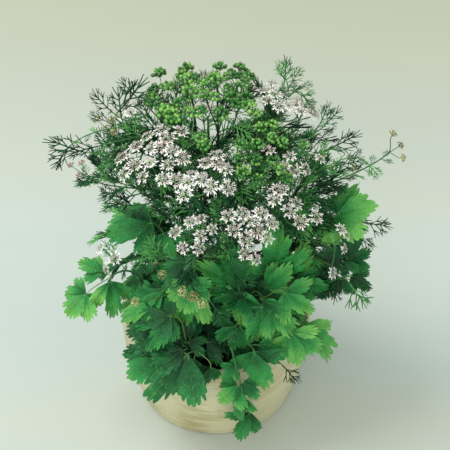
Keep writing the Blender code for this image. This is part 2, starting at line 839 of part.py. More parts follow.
def grow_back_frond(name, facts):
    turn = math.radians(facts["azimuth"])
    away = Vector((math.cos(turn), math.sin(turn), 0))
    fork = away * BACK_REACH + Vector((0, 0, facts["height"] * MM))
    root = (away.x * facts["root"], away.y * facts["root"])
    leaflets = []
    for spread, size, breadth in ((0, 1.0, 1.0), (52, 0.82, 0.9), (-52, 0.82, 0.9)):
        way = Quaternion((0, 0, 1), math.radians(spread)) @ away
        way = (way + Vector((0, 0, -0.25))).normalized()
        base = fork + way * 14 * MM
        leaflets.append((base, base + way * BACK_LEAFLET * size, Vector((0, 0, 1)) + away * 0.4, breadth))
    arrival = (away + Vector((0, 0, 0.2))).normalized()
    grow_frond(name, root, fork, arrival, leaflets, None)


# Stems and heads

def stem_plan(places):
    # The path of each stem, and which stem each head and each outer feathery leaf springs from
    plan = {}
    for name, facts in STEMS.items():
        place, radius = places[facts["head"]][0]
        goal = umbel_foot(place, radius) - outward(place) * (HUB_RADIUS + GAP)
        path = rising_path(facts["root"], goal, outward(place), 7)
        plan[name] = dict(path=path, heads=[], feathers=[])
    ends = {facts["head"]: name for name, facts in STEMS.items()}
    for head, umbels in places.items():
        if head not in ends:
            plan[nearest_stem(plan, umbels[0][0])]["heads"].append(head)
    for feather_place in OUTER_FEATHERS:
        root = seen(feather_place[0], feather_place[1], feather_place[4] * MM)
        plan[nearest_stem(plan, root)]["feathers"].append(feather_place)
    return plan


def nearest_stem(plan, point):
    def distance(name):
        path = plan[name]["path"]
        return min((path[k] - point).length for k in (4, 5, 6))
    return min(plan, key=distance)


def branch_start(path, goal):
    # A branch leaves the stem well below its goal
    for share in (6, 5, 4, 3):
        if path[share].z < goal.z - BRANCH_DROP:
            return share
    return 2


def branch_path(path, goal, arrival):
    share = branch_start(path, goal)
    start = (path[share] + path[share + 1]) / 2
    way = (path[share + 1] - path[share]).normalized()
    span = (goal - start).length
    return bezier(start, start + way * span * 0.35, goal - arrival * span * 0.35, goal, 3)


def grow_main_stem(name, facts):
    if not grow(name, (tube(facts["path"], STEM_RADIUS, STEM_TIP_RADIUS, 4),)):
        print("no room for", name)


def grow_branches(name, facts, places):
    draw = random.Random(name)
    for head in facts["heads"]:
        place, radius = places[head][0]
        goal = umbel_foot(place, radius) - outward(place) * (HUB_RADIUS + GAP)
        path = branch_path(facts["path"], goal, outward(place))
        if grow_path(name, draw, path, TWIG_BEND, (TWIG_RADIUS, TWIG_RADIUS), 3) is None:
            print("no room for the branch to", head)


def grow_leaves(name, facts):
    draw = random.Random(name)
    for feather_place in facts["feathers"]:
        grow_outer_feather(name, draw, facts["path"], feather_place)
    grow_feathers(name, draw, facts["path"], 3, FEATHERS_PER_STEM)


def feather_variants(draw, root, along, length, stalk=()):
    # As planned, then swung, shortened and with a bent stalk until it is clear
    for i in range(16):
        turned_way = along + 0.06 * i * Vector([draw.uniform(-1, 1) for _ in range(3)])
        face = Vector((draw.uniform(-0.4, 0.4), draw.uniform(-0.4, 0.4), 1))
        bow = Vector([draw.uniform(-1, 1) for _ in range(3)]) * i * 1.5 * MM
        bent = bowed(list(stalk) + [root], bow)[:-1] if stalk else ()
        yield feather(root, turned_way.normalized(), face, length * (1 - 0.02 * i), bent)


def grow_feathers(node, draw, path, first, count):
    # Feathery leaves at the joints of a stem, in turn round it
    for k in range(count):
        joint = min(first + k, len(path) - 2)
        root = (path[joint] + path[joint + 1]) / 2
        turn = 2.4 * k + draw.uniform(-0.5, 0.5)
        out = Vector((root.x - CROWN_CENTRE.x, root.y - CROWN_CENTRE.y, 0)).normalized()
        around = Vector((math.cos(turn), math.sin(turn), 0))
        along = (out * 0.8 + around * 0.8 + Vector((0, 0, 0.9))).normalized()
        length = FEATHER_LENGTH * draw.uniform(0.8, 1.1)
        if not grow(node, feather_variants(draw, root, along, length)):
            print("no room for a feathery leaf of", node)


def grow_outer_feather(node, draw, path, facts):
    root_x, root_y, tip_x, tip_y, depth = facts
    root = seen(root_x, root_y, depth * MM)
    tip = seen(tip_x, tip_y, depth * MM)
    along = (tip - root).normalized()
    stalk = branch_path(path, root, along)[:-1]
    if not grow(node, feather_variants(draw, root, along, (tip - root).length, stalk)):
        print("no room for the outer leaf at", root_x, root_y)


def grow_head(name, umbels):
    # The umbels of one head. A second umbel stands on a twig from the first one's hub.
    fruiting = name.startswith("fruit")
    draw = random.Random(name)
    for i, (place, radius) in enumerate(umbels):
        spins = [(draw.uniform(0, 2), 1 - 0.012 * k) for k in range(40)]
        end = umbel_foot(place, radius)
        if i:
            start = umbel_foot(*umbels[0])
            low = Vector((0, 0, -TWIN_DROP))
            way = bezier(start, start + low, end + low, end, 3)
            if grow_path(name, draw, way, TWIN_BEND, (TWIN_RADIUS, TWIN_RADIUS), 3) is None:
                print("no room for the twig to umbel", i, "of", name)
                continue
        if not grow(name, (umbel(place, radius, fruiting, spin, swell) for spin, swell in spins)):
            print("no room for umbel", i, "of", name)


def main():
    clear_scene()
    clay = material("cream glazed stoneware", (0.6, 0.58, 0.4, 1), 0.5)
    earth = material("potting soil", (0.03, 0.015, 0.012, 1), 0.95)
    broad = material("broad coriander leaf", GREENS["broad"], 0.5)
    stem = material("coriander stem and feathery leaf", GREENS["stem"], 0.55)
    green_fruit = material("unripe coriander fruit", GREENS["fruit"], 0.45)
    petal = material("coriander floret", (0.75, 0.66, 0.7, 1), 0.6)
    make_pot(clay)
    holes = [(facts["root"], STEM_HOLE) for facts in STEMS.values()]
    holes += [(facts["root"], STALK_HOLE) for facts in FRONDS.values()]
    for facts in BACK_FRONDS.values():
        turn = math.radians(facts["azimuth"])
        holes.append(((math.cos(turn) * facts["root"], math.sin(turn) * facts["root"]), STALK_HOLE))
    make_soil(holes, earth)
    places = head_places()
    plan = stem_plan(places)
    for name, facts in plan.items():
        grow_main_stem(name, facts)
    for name, umbels in places.items():
        grow_head(name, umbels)
    for name, facts in plan.items():
        grow_branches(name, facts, places)
    for name, facts in FRONDS.items():
        grow_front_frond(name, facts)
    for name, facts in BACK_FRONDS.items():
        grow_back_frond(name, facts)
    for name, facts in plan.items():
        grow_leaves(name, facts)
    finishes = {"flowering": stem, "broad": broad, "fruit": green_fruit, "flower": petal}
    for name, shapes in grown.items():
        fused(name, shapes, finishes[name.split("_")[0]])


main()
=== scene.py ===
# Potted coriander in flower and green fruit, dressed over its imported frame
import bpy
import math
import random
import numpy as np
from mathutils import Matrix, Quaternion, Vector


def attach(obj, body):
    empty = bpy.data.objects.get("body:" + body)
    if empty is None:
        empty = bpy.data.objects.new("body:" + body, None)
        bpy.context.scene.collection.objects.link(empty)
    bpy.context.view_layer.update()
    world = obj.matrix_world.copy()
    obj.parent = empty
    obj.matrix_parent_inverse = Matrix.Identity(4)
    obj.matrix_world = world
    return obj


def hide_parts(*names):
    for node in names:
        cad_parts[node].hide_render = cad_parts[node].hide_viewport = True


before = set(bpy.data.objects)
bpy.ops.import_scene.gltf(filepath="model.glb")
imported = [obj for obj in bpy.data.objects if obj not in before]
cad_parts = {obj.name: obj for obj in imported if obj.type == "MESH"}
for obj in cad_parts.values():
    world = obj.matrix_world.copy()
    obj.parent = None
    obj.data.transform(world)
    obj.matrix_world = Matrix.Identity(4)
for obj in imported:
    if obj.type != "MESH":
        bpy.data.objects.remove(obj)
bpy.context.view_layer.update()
mm = 0.001

# The photograph's view: 1.8 m away, looking 40 degrees down at a place in mm. Places on the plant's front
# are given across and down this view, in view units, of which it is 450 wide and high.
view = {"tilt": 40, "distance": 1.8, "target": (9.2, 0, 218.1), "lens": 144, "sensor": 36, "units": 450,
        "near": 0.05}   # m, where the camera starts to see
# The dome that the heads sit on, in mm. They face away from a point that lies below its centre.
crown = {"centre": (5, 16, 202), "radii": (152, 130, 174), "below": 90}

tilt = math.radians(view["tilt"])
towardView = Vector((0, -math.cos(tilt), math.sin(tilt)))
viewUp = Vector((0, math.sin(tilt), math.cos(tilt)))
eye = Vector(view["target"]) * mm + towardView * view["distance"]
unitsPerMetre = view["units"] * view["lens"] / view["sensor"]   # at one metre from the eye
viewMiddle = view["units"] / 2
crownCentre = Vector(crown["centre"]) * mm
crownRadii = Vector(crown["radii"]) * mm
up = Vector((0, 0, 1))


# Places

def seen(across, down, depth):   # the point on the line of sight through a place, at a depth in mm
    sight = -towardView
    sight = sight + Vector((1, 0, 0)) * ((across - viewMiddle) / unitsPerMetre)
    sight = sight + viewUp * ((viewMiddle - down) / unitsPerMetre)
    return eye + sight * ((depth * mm - eye.y) / sight.y)


def inRadii(away):   # a way from the crown's centre, as shares of the dome's radii
    return Vector([away[i] / crownRadii[i] for i in range(3)])


def onCrown(across, down):   # where that line first meets the crown's dome, or passes nearest to it
    start = seen(across, down, -500)   # from well before the plant to well behind it
    step = seen(across, down, 500) - start
    near = inRadii([start[i] - crownCentre[i] for i in range(3)])
    way = inRadii(step)
    square = way.dot(way)
    half = near.dot(way)
    rest = half * half - square * (near.dot(near) - 1)
    return start + step * ((-half - math.sqrt(max(rest, 0))) / square)


def onCrownBack(azimuth, height):   # the place on the dome at two angles in degrees, from its centre
    turn = math.radians(azimuth)
    rise = math.radians(height)
    way = Vector((math.cos(turn) * math.cos(rise), math.sin(turn) * math.cos(rise), math.sin(rise)))
    return crownCentre + Vector([way[i] * crownRadii[i] for i in range(3)])


def crownShare(point):   # 1 on the dome, less inside it
    return inRadii(point - crownCentre).length


def outward(point):   # the way a head faces: out of the crown and a little up
    away = point - crownCentre
    return Vector((away.x, away.y, away.z + crown["below"] * mm)).normalized()


def squareTo(way, guess):   # the direction square to a way that lies nearest to a guess
    side = guess - way * guess.dot(way)
    if side.length < 1e-6:
        side = way.orthogonal()
    return side.normalized()


def bezier(start, startHandle, endHandle, end, steps):   # points along a curve that two handles bend
    points = []
    for i in range(steps + 1):
        t = i / steps
        s = 1 - t
        points.append(s**3 * start + 3 * s * s * t * startHandle + 3 * s * t * t * endHandle + t**3 * end)
    return points


def swing(start, way, goal, arrival, steps, first=0.35):   # leaves along one way, arrives along another
    span = (goal - start).length
    return bezier(start, start + way * span * first, goal - arrival * span * 0.35, goal, steps)


inFront = []   # what stands free in the view: across, down, reach in view units, and distance
justBehind = 4 * mm   # what lies less than this behind a free thing counts as before it


def viewPlace(point):   # across, down and distance in the view
    away = point - eye
    distance = -away.dot(towardView)
    across = viewMiddle + away.x / distance * unitsPerMetre
    down = viewMiddle - away.dot(viewUp) / distance * unitsPerMetre
    return across, down, distance


def keepClear(point, reach):   # nothing may be put before this point
    across, down, distance = viewPlace(point)
    inFront.append((across, down, reach, distance))


def keepOpen(across, down, reach):   # a gap to see through, whatever the distance
    inFront.append((across, down, reach, view["distance"] * 2))


def standsBefore(point):   # whether this point hides something that stands free in the view
    across, down, distance = viewPlace(point)
    return any(math.hypot(across - x, down - y) < reach and distance < depth + justBehind
               for x, y, reach, depth in inFront)


# Gaps in the foliage, as place and reach in the view: paper shows through the crown, and soil at the front
openGaps = (
    (150, 157, 9), (155, 119, 7), (211, 134, 7), (136, 197, 9), (124, 249, 8), (105, 188, 8), (84, 214, 12),
    (225, 356, 8), (285, 120, 6), (303, 129, 6), (322, 143, 5), (262, 108, 5), (300, 188, 5), (203, 122, 6),
    (236, 114, 5),
)
for gap in openGaps:
    keepOpen(*gap)


# Meshes: a shape is kept as blocks of points and faces, and becomes one object at the end

def newShape():
    return {"points": [], "faces": [], "finishes": [], "maps": [], "tones": [], "total": 0}


def addBlock(shape, points, faces, finish=0, maps=None, tone=0.5):
    # points is n by 3, faces a list of arrays of corner numbers, and maps two numbers a point for patterns
    count = len(points)
    shape["points"].append(np.asarray(points, float))
    shape["maps"].append(np.zeros((count, 2)) if maps is None else maps)
    shape["tones"].append(np.broadcast_to(np.asarray(tone, float), (count,)))
    for block in faces:
        shape["faces"].append(np.asarray(block) + shape["total"])
        shape["finishes"].append(np.full(len(block), finish))
    shape["total"] += count


def packShape(shape):   # a pattern to copy: as few blocks as its finishes and face sizes allow
    packed = newShape()
    packed["points"] = [np.concatenate(shape["points"])]
    packed["maps"] = [np.concatenate(shape["maps"])]
    packed["tones"] = [np.concatenate(shape["tones"])]
    packed["total"] = shape["total"]
    kinds = sorted({(len(block[0]), kind[0]) for block, kind in zip(shape["faces"], shape["finishes"])})
    for size, finish in kinds:
        alike = [block for block, kind in zip(shape["faces"], shape["finishes"])
                 if len(block[0]) == size and kind[0] == finish]
        packed["faces"].append(np.concatenate(alike))
        packed["finishes"].append(np.full(len(packed["faces"][-1]), finish))
    return packed


def axesOf(along, face):   # a turn whose X runs along, and whose Z faces as near to face as it can
    x = along.normalized()
    z = squareTo(x, face)
    return np.array([x, z.cross(x), z])


def axesUp(way, spin):   # a turn whose Z runs up the way, turned about it
    side = Quaternion(way, spin) @ squareTo(way, Vector((1, 0.3, 0.2)))
    return np.array([side, way.cross(side), way])


def placeShape(shape, pattern, axes, spot, size, lift=0.0):
    # A copy of a packed pattern, turned, sized and put at a spot, with its tones lifted or lowered
    points = pattern["points"][0] @ (axes * size) + np.array(spot)
    start = shape["total"]
    shape["points"].append(points)
    shape["maps"].append(pattern["maps"][0])
    shape["tones"].append(pattern["tones"][0] + lift)
    for block, kind in zip(pattern["faces"], pattern["finishes"]):
        shape["faces"].append(block + start)
        shape["finishes"].append(kind)
    shape["total"] += len(points)


def ringFaces(rows, sides):   # quads of a skin of rows of points that close round into rings
    row, side = np.meshgrid(np.arange(rows - 1), np.arange(sides), indexing="ij")
    a = (row * sides + side).ravel()
    b = (row * sides + (side + 1) % sides).ravel()
    return np.stack([a, b, b + sides, a + sides], axis=1)


def circle(sides):   # cosines and sines at even steps round
    turns = 2 * np.pi * np.arange(sides) / sides
    return np.cos(turns), np.sin(turns)


def fanFaces(ring, tip, flip=False):   # triangles from a closed ring of corners to one tip
    after = np.roll(ring, -1)
    first, second = (after, ring) if flip else (ring, after)
    return np.stack([first, second, np.full(len(ring), tip)], axis=1)


def ringMaps(shares, sides):   # the pattern map of rings: round each one, and a share along for each
    return np.stack([np.tile(np.arange(sides) / sides, len(shares)), np.repeat(shares, sides)], axis=1)


def addTube(shape, path, radii, sides, finish=0, tone=0.5, ribs=0.0):
    # A stalk along a path, pointed at its end, with ribs raised by a share of its radius
    path = np.array([tuple(point) for point in path])
    count = len(path)
    radii = np.interp(np.linspace(0, 1, count), np.linspace(0, 1, len(radii)), radii)
    ways = np.gradient(path, axis=0)
    ways /= np.linalg.norm(ways, axis=1)[:, None] + 1e-12
    side = np.cross(ways[0], (0.3, 0.9, 0.2))   # the rings start off any slanted direction
    sideways = []
    for way in ways:
        side = side - way * side.dot(way)
        side = side / np.linalg.norm(side)
        sideways.append(side)
    sideways = np.array(sideways)
    others = np.cross(ways, sideways)
    cosines, sines = circle(sides)
    swell = 1 + ribs * np.where(np.arange(sides) % 2, -1, 1)
    rings = cosines[None, :, None] * sideways[:, None, :] + sines[None, :, None] * others[:, None, :]
    rings = path[:, None, :] + rings * (radii[:, None] * swell[None, :])[:, :, None]
    points = np.concatenate([rings.reshape(-1, 3), path[:1], path[-1:] + ways[-1:] * radii[-1]])
    ring = np.arange(sides)
    total = count * sides
    caps = np.concatenate([fanFaces(ring, total, True), fanFaces(total - sides + ring, total + 1)])
    maps = np.concatenate([ringMaps(np.linspace(0, 1, count), sides), [[0, 0], [0, 1]]])
    addBlock(shape, points, [ringFaces(count, sides), caps], finish, maps, tone)


def addThing(name, data, place=(0, 0, 0), way=None):   # one object in the scene, turned to face a way
    thing = bpy.data.objects.new(name, data)
    thing.location = place
    if way is not None:
        thing.rotation_euler = way.to_track_quat("-Z", "Y").to_euler()
    bpy.context.scene.collection.objects.link(thing)
    return thing


def makeObject(name, shape, materials, sharp=50):
    # The shape as one mesh object, with its pattern map and its tone kept for the materials
    mesh = bpy.data.meshes.new(name)
    points = np.concatenate(shape["points"])
    faces = [face for block in shape["faces"] for face in block.tolist()]
    mesh.from_pydata(points.tolist(), [], faces)
    mesh.polygons.foreach_set("material_index", np.concatenate(shape["finishes"]).astype(np.int32))
    tones = mesh.attributes.new("tone", "FLOAT", "POINT")
    tones.data.foreach_set("value", np.concatenate(shape["tones"]).astype(np.float32))
    corners = np.empty(len(mesh.loops), np.int32)
    mesh.loops.foreach_get("vertex_index", corners)
    pattern = mesh.uv_layers.new(name="patternMap")
    maps = np.concatenate(shape["maps"])[corners]
    pattern.data.foreach_set("uv", maps.astype(np.float32).ravel())
    for material in materials:
        mesh.materials.append(material)
    mesh.shade_smooth()
    mesh.set_sharp_from_angle(angle=math.radians(sharp))
    return addThing(name, mesh)


def stand(thing, node):   # the piece takes its node's place and its record slot
    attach(thing, "root")
    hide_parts(node)


# Materials

def fromHex(code):   # sRGB hex to linear
    parts = [int(code[i:i + 2], 16) / 255 for i in (1, 3, 5)]
    return tuple(c / 12.92 if c <= 0.04045 else ((c + 0.055) / 1.055) ** 2.4 for c in parts) + (1.0,)


def perMm(size):   # the scale of a pattern whose features are this many millimetres
    return 1 / (size * mm)


def feed(tree, node, links):   # a source is a socket, or a node that gives its first output
    for key, source in links.items():
        tree.links.new(source.outputs[0] if hasattr(source, "outputs") else source, node.inputs[key])


def addNode(tree, kind, settings=None, links=None):
    # One node, with its settings (attributes, or sockets by name or number) and what feeds its sockets
    node = tree.nodes.new("ShaderNode" + kind)
    for key, value in (settings or {}).items():
        if isinstance(key, str) and hasattr(node, key):
            setattr(node, key, value)
        else:
            node.inputs[key].default_value = value
    feed(tree, node, links or {})
    return node


def newMaterial(name, roughness, ior=1.45, specular=0.5):
    # A Principled surface whose even values stand on its own sockets
    material = bpy.data.materials.new(name)
    material.use_nodes = True
    tree = material.node_tree
    surface = tree.nodes["Principled BSDF"]
    values = {"Roughness": roughness, "IOR": ior, "Metallic": 0.0, "Specular IOR Level": specular}
    for key, value in values.items():
        surface.inputs[key].default_value = value
    return material, tree, surface


def colourStops(tree, value, stops):   # a ramp through hex colours at their places
    ramp = addNode(tree, "ValToRGB", None, {"Fac": value})
    band = ramp.color_ramp
    while len(band.elements) < len(stops):
        band.elements.new(0.5)
    for element, (place, code) in zip(band.elements, stops):
        element.position = place
        element.color = fromHex(code)
    return ramp


def patchyTone(tree, place, size, detail, reach):
    # A skin's tone as its points carry it (on leaves partly painted shade and painted light), lifted and
    # lowered by half the reach in patches of a size in mm
    tone = addNode(tree, "Attribute", {"attribute_name": "tone"}).outputs["Fac"]
    cloud = addNode(tree, "TexNoise", {"Scale": perMm(size), "Detail": detail}, {"Vector": place})
    shift = addNode(tree, "Math", {"operation": "MULTIPLY_ADD", 1: reach, 2: -reach / 2}, {0: cloud})
    return addNode(tree, "Math", {"operation": "ADD", "use_clamp": True}, {0: tone, 1: shift})


def leafMaterial(name, colours, under=False):
    # Coriander leaf, grown, with a thin wax bloom: a satin green sheet with pale veins from rib to teeth
    material, tree, surface = newMaterial(name, 0.5 if under else 0.38, 1.4, 0.4)
    place = addNode(tree, "TexCoord").outputs["Object"]
    body = colourStops(tree, patchyTone(tree, place, 14, 3.0, 0.5), colours)   # 14 mm patches
    pattern = addNode(tree, "UVMap", {"uv_map": "patternMap"})
    parts = addNode(tree, "SeparateXYZ", None, {"Vector": pattern})   # X counts teeth, Y runs foot to edge
    side = addNode(tree, "Math", {"operation": "ABSOLUTE"}, {0: parts.outputs["X"]})
    spread = addNode(tree, "Math", {"operation": "MULTIPLY"}, {0: side, 1: parts.outputs["Y"]})
    rise = addNode(tree, "Math", {"operation": "MULTIPLY_ADD", 1: -0.2}, {0: side, 2: parts.outputs["Y"]})
    across = addNode(tree, "Math", {"operation": "PINGPONG", 1: 0.1}, {0: rise})
    lines = []   # one along the rib, and one from the rib to each tooth
    for source, near, far in ((spread, 0.03, 0.2), (across, 0.004, 0.03)):
        fading = {"From Min": near, "From Max": far, "To Min": 1.0, "To Max": 0.0}
        lines.append(addNode(tree, "MapRange", fading, {"Value": source}))
    vein = addNode(tree, "Math", {"operation": "MULTIPLY_ADD", 1: 0.5, "use_clamp": True},
                   {0: lines[1], 2: lines[0]})
    faint = addNode(tree, "Math", {"operation": "MULTIPLY", 1: 0.28}, {0: vein})
    paled = addNode(tree, "MixRGB", {"Color2": fromHex("#86c874")}, {"Fac": faint, "Color1": body})
    cells = addNode(tree, "TexVoronoi", {"Scale": perMm(1.8)}, {"Vector": place})   # 1.8 mm net of veinlets
    relief = addNode(tree, "Math", {"operation": "MULTIPLY_ADD", 1: 1.1 if under else -1.1},
                     {0: vein, 2: cells})   # veins are sunk above and raised below
    bump = addNode(tree, "Bump", {"Strength": 0.85, "Distance": 0.65 * mm}, {"Height": relief})
    feed(tree, surface, {"Base Color": paled, "Normal": bump})
    return material


def stalkMaterial(name, colours):
    # Coriander stem, grown, smooth and finely ribbed: a soft gloss, with darker and paler stretches
    material, tree, surface = newMaterial(name, 0.45, 1.4, 0.35)
    place = addNode(tree, "TexCoord").outputs["Object"]
    body = colourStops(tree, patchyTone(tree, place, 25, 2.0, 0.6), colours)   # 25 mm patches
    feed(tree, surface, {"Base Color": body})
    return material


def fruitMaterial(name, colours):
    # Unripe coriander fruit, grown: a satin green globe with ten faint paler ribs from stalk to crown
    material, tree, surface = newMaterial(name, 0.3, 1.45, 0.55)
    tone = addNode(tree, "Attribute", {"attribute_name": "tone"}).outputs["Fac"]
    pattern = addNode(tree, "UVMap", {"uv_map": "patternMap"})
    parts = addNode(tree, "SeparateXYZ", None, {"Vector": pattern})
    turns = addNode(tree, "Math", {"operation": "MULTIPLY", 1: 10.0}, {0: parts.outputs["X"]})   # ten ribs
    rib = addNode(tree, "Math", {"operation": "PINGPONG", 1: 0.5}, {0: turns})
    lifted = addNode(tree, "Math", {"operation": "MULTIPLY_ADD", 1: 0.25}, {0: rib, 2: tone})
    bump = addNode(tree, "Bump", {"Strength": 0.3, "Distance": 0.15 * mm}, {"Height": rib})
    feed(tree, surface, {"Base Color": colourStops(tree, lifted, colours), "Normal": bump})
    return material


def petalMaterial(name, colours):
    # Coriander petal, grown: thin matt tissue, pale at its tips and darker towards its claw, partly its own
    # colour and partly painted shade
    material, tree, surface = newMaterial(name, 0.6, 1.35, 0.25)
    tone = addNode(tree, "Attribute", {"attribute_name": "tone"}).outputs["Fac"]
    feed(tree, surface, {"Base Color": colourStops(tree, tone, colours)})
    return material


def plainMaterial(name, code, roughness):
    # Small parts of flowers, grown: matt, with a 2 mm shade change so that no two look alike
    material, tree, surface = newMaterial(name, roughness)
    place = addNode(tree, "TexCoord").outputs["Object"]
    cloud = addNode(tree, "TexNoise", {"Scale": perMm(2)}, {"Vector": place})
    shade = addNode(tree, "MapRange", {"To Min": 0.75, "To Max": 1.2}, {"Value": cloud})
    lit = addNode(tree, "VectorMath", {"operation": "SCALE", 0: fromHex(code)[:3]}, {"Scale": shade})
    feed(tree, surface, {"Base Color": lit})
    return material


leafFace = leafMaterial("coriander leaf, satin upper face",
                        [(0.0, "#02301a"), (0.35, "#0c5a2b"), (0.65, "#2b8840"), (1.0, "#72b756")])
leafBack = leafMaterial("coriander leaf, paler lower face",
                        [(0.0, "#234f34"), (0.5, "#427f4d"), (1.0, "#80b473")], True)
stalkSkin = stalkMaterial("coriander stem, ribbed green skin",
                          [(0.0, "#14291c"), (0.5, "#376a3a"), (1.0, "#8fb35a")])
featherSkin = stalkMaterial("coriander feathery leaf, fine dark threads",
                            [(0.0, "#0d2a1a"), (0.5, "#256138"), (1.0, "#6ab05c")])
fruitSkin = fruitMaterial("unripe coriander fruit, satin green",
                          [(0.1, "#154a1e"), (0.5, "#327a2e"), (0.9, "#82ba58")])
# its darkest colour, at the claw, is partly the petal's mauve flush and partly painted shade
petalSkin = petalMaterial("coriander petal, white flushed mauve",
                          [(0.0, "#c2988f"), (0.35, "#f0e4de"), (1.0, "#ffffff")])
fadedSkin = petalMaterial("faded coriander petal, dry straw",
                          [(0.0, "#7a4f2c"), (0.5, "#b8905c"), (1.0, "#eadcc0")])
antherSkin = plainMaterial("coriander anther, dusty mauve", "#a06d78", 0.8)
budSkin = plainMaterial("coriander bud, closed pink petals", "#b59386", 0.6)
tipSkin = plainMaterial("dried style on a coriander fruit, rust brown", "#8f6b45", 0.8)
print("materials made")


# Pot: a thrown stoneware bowl

potForm = {   # sizes in mm, the first row as in the frame
    "height": 108, "foot": 78.5, "rim": 98, "wall": 6, "floor": 9, "lip": 2.6,
    "floorInset": 8, "floorHeight": 14, "wallFrom": 20,   # the corner between the hollow's floor and wall
    "footEdge": ((0.9, 0.9), (2.6, 0.3), (4, 0)), "footTop": 1.2,   # inset and height along its soft edge
    "lineEvery": 3.6, "lineRise": 0.24, "wiped": 8,   # turning lines of the fingers, wiped off near the lip
    "axis": 0.01,   # the skin ends this near its axis
    "sides": 128, "rows": 76, "innerRows": 24, "lipRows": 14,   # fineness of the turned skin
}


def potRadius(height):   # mm, the outer wall, which rounds out quickly from the foot
    share = min(max(height / (potForm["height"] - potForm["lip"]), 0), 1)
    return potForm["foot"] + (potForm["rim"] - potForm["foot"]) * math.sin(share * math.pi / 2) ** 0.9


def turnedShape(profile, sides):   # a skin turned round the upright axis, from (radius, height) in mm
    profile = np.array(profile) * mm
    ring = np.stack([*circle(sides), np.zeros(sides)], axis=1)
    points = profile[:, None, :1] * ring[None, :, :] + profile[:, None, 1:] * np.array([0, 0, 1.0])
    shape = newShape()
    maps = ringMaps(np.linspace(0, 1, len(profile)), sides)
    addBlock(shape, points.reshape(-1, 3), [ringFaces(len(profile), sides)[:, ::-1]], 0, maps)
    return shape


def glazeMaterial():
    # Cream satin glaze over a turned wall: soft broad highlights, fine level lines, faint warm clouds
    material, tree, surface = newMaterial("stoneware, thrown, cream satin glaze", 0.42, 1.5, 0.4)
    place = addNode(tree, "TexCoord").outputs["Object"]
    stretched = addNode(tree, "Mapping", {"Scale": (0.3, 0.3, 8)}, {"Vector": place})
    # 12 mm waves stretched into lines 40 mm long and 1.5 mm high, clouds of 45 mm and specks of 1.6 mm
    lines = addNode(tree, "TexNoise", {"Scale": perMm(12), "Detail": 4.0}, {"Vector": stretched})
    clouds = addNode(tree, "TexNoise", {"Scale": perMm(45), "Detail": 3.0}, {"Vector": place})
    mixed = addNode(tree, "Math", {"operation": "MULTIPLY_ADD", 1: 0.9}, {0: lines, 2: clouds})
    body = colourStops(tree, mixed, [(0.68, "#ad9f72"), (0.88, "#bfb68e"), (1.0, "#cec8a6")])
    specks = addNode(tree, "TexNoise", {"Scale": perMm(1.6), "Detail": 1.0}, {"Vector": place})
    dots = addNode(tree, "MapRange", {"From Min": 0.7, "From Max": 0.78, "To Max": 0.35}, {"Value": specks})
    glaze = addNode(tree, "MixRGB", {"Color2": fromHex("#a48f5e")}, {"Fac": dots, "Color1": body})
    bump = addNode(tree, "Bump", {"Strength": 0.25, "Distance": 0.3 * mm}, {"Height": lines})
    feed(tree, surface, {"Base Color": glaze, "Normal": bump})
    return material


def makePot():
    wall, lip, floor, axis = potForm["wall"], potForm["lip"], potForm["floor"], potForm["axis"]
    top = potForm["height"] - lip
    inner = [(axis, floor), (potRadius(potForm["floorHeight"]) - wall - potForm["floorInset"], floor)]
    inner += [(potRadius(h) - wall, h) for h in np.linspace(potForm["wallFrom"], top, potForm["innerRows"])]
    middle = potForm["rim"] - wall / 2
    rounding = [(middle - math.cos(a) * wall / 2, top + math.sin(a) * lip)
                for a in np.linspace(0, math.pi, potForm["lipRows"])[1:-1]]
    outer = []
    # The turning lines run round level, and a second, slower wave keeps them uneven
    for h in np.linspace(top, potForm["footTop"], potForm["rows"]):
        line = math.sin(2 * math.pi * h / potForm["lineEvery"]) + 0.6 * math.sin(h * 0.9 + 1)
        fade = min(1, (top - h) / potForm["wiped"])
        outer.append((potRadius(h) + line * potForm["lineRise"] * fade, h))
    foot = [(potForm["foot"] - inset, h) for inset, h in potForm["footEdge"]] + [(axis, 0)]
    shape = turnedShape(inner + rounding + outer + foot, potForm["sides"])
    stand(makeObject("bowl_pot", shape, [glazeMaterial()]), "pot")


makePot()
print("pot made")


# Soil

soilForm = {
    "top": 94, "gap": 0.4, "clod": 1.6,   # mm, the surface's height, its gap to the pot and its roughness
    "side": (80, 50, 22), "inset": 20, "middle": 0.2,   # mm, heights down its side, its narrower base
    "rows": 34, "sides": 110,   # fineness of the rough surface
    "crumbs": 750, "crumbSize": (0.7, 2.2), "crumbKinds": 6,   # crumbs lying on it, radius in mm
    "crumbReach": 0.97, "sunk": 0.2,   # the share of its radius that they cover, and mm that they are sunk
    "seed": 11,
}


def crumbPattern(draw):   # one rough crumb: a pressed and dented ball of twenty faces
    golden = (1 + 5**0.5) / 2
    corners = [(-1, golden, 0), (1, golden, 0), (-1, -golden, 0), (1, -golden, 0),
               (0, -1, golden), (0, 1, golden), (0, -1, -golden), (0, 1, -golden),
               (golden, 0, -1), (golden, 0, 1), (-golden, 0, -1), (-golden, 0, 1)]
    faces = [(0, 11, 5), (0, 5, 1), (0, 1, 7), (0, 7, 10), (0, 10, 11), (1, 5, 9), (5, 11, 4), (11, 10, 2),
             (10, 7, 6), (7, 1, 8), (3, 9, 4), (3, 4, 2), (3, 2, 6), (3, 6, 8), (3, 8, 9), (4, 9, 5),
             (2, 4, 11), (6, 2, 10), (8, 6, 7), (9, 8, 1)]
    points = np.array([np.array(c) * draw.uniform(0.4, 0.65) for c in corners])
    shape = newShape()
    addBlock(shape, points * (1, draw.uniform(0.6, 1), draw.uniform(0.5, 0.9)), [np.array(faces)])
    return packShape(shape)


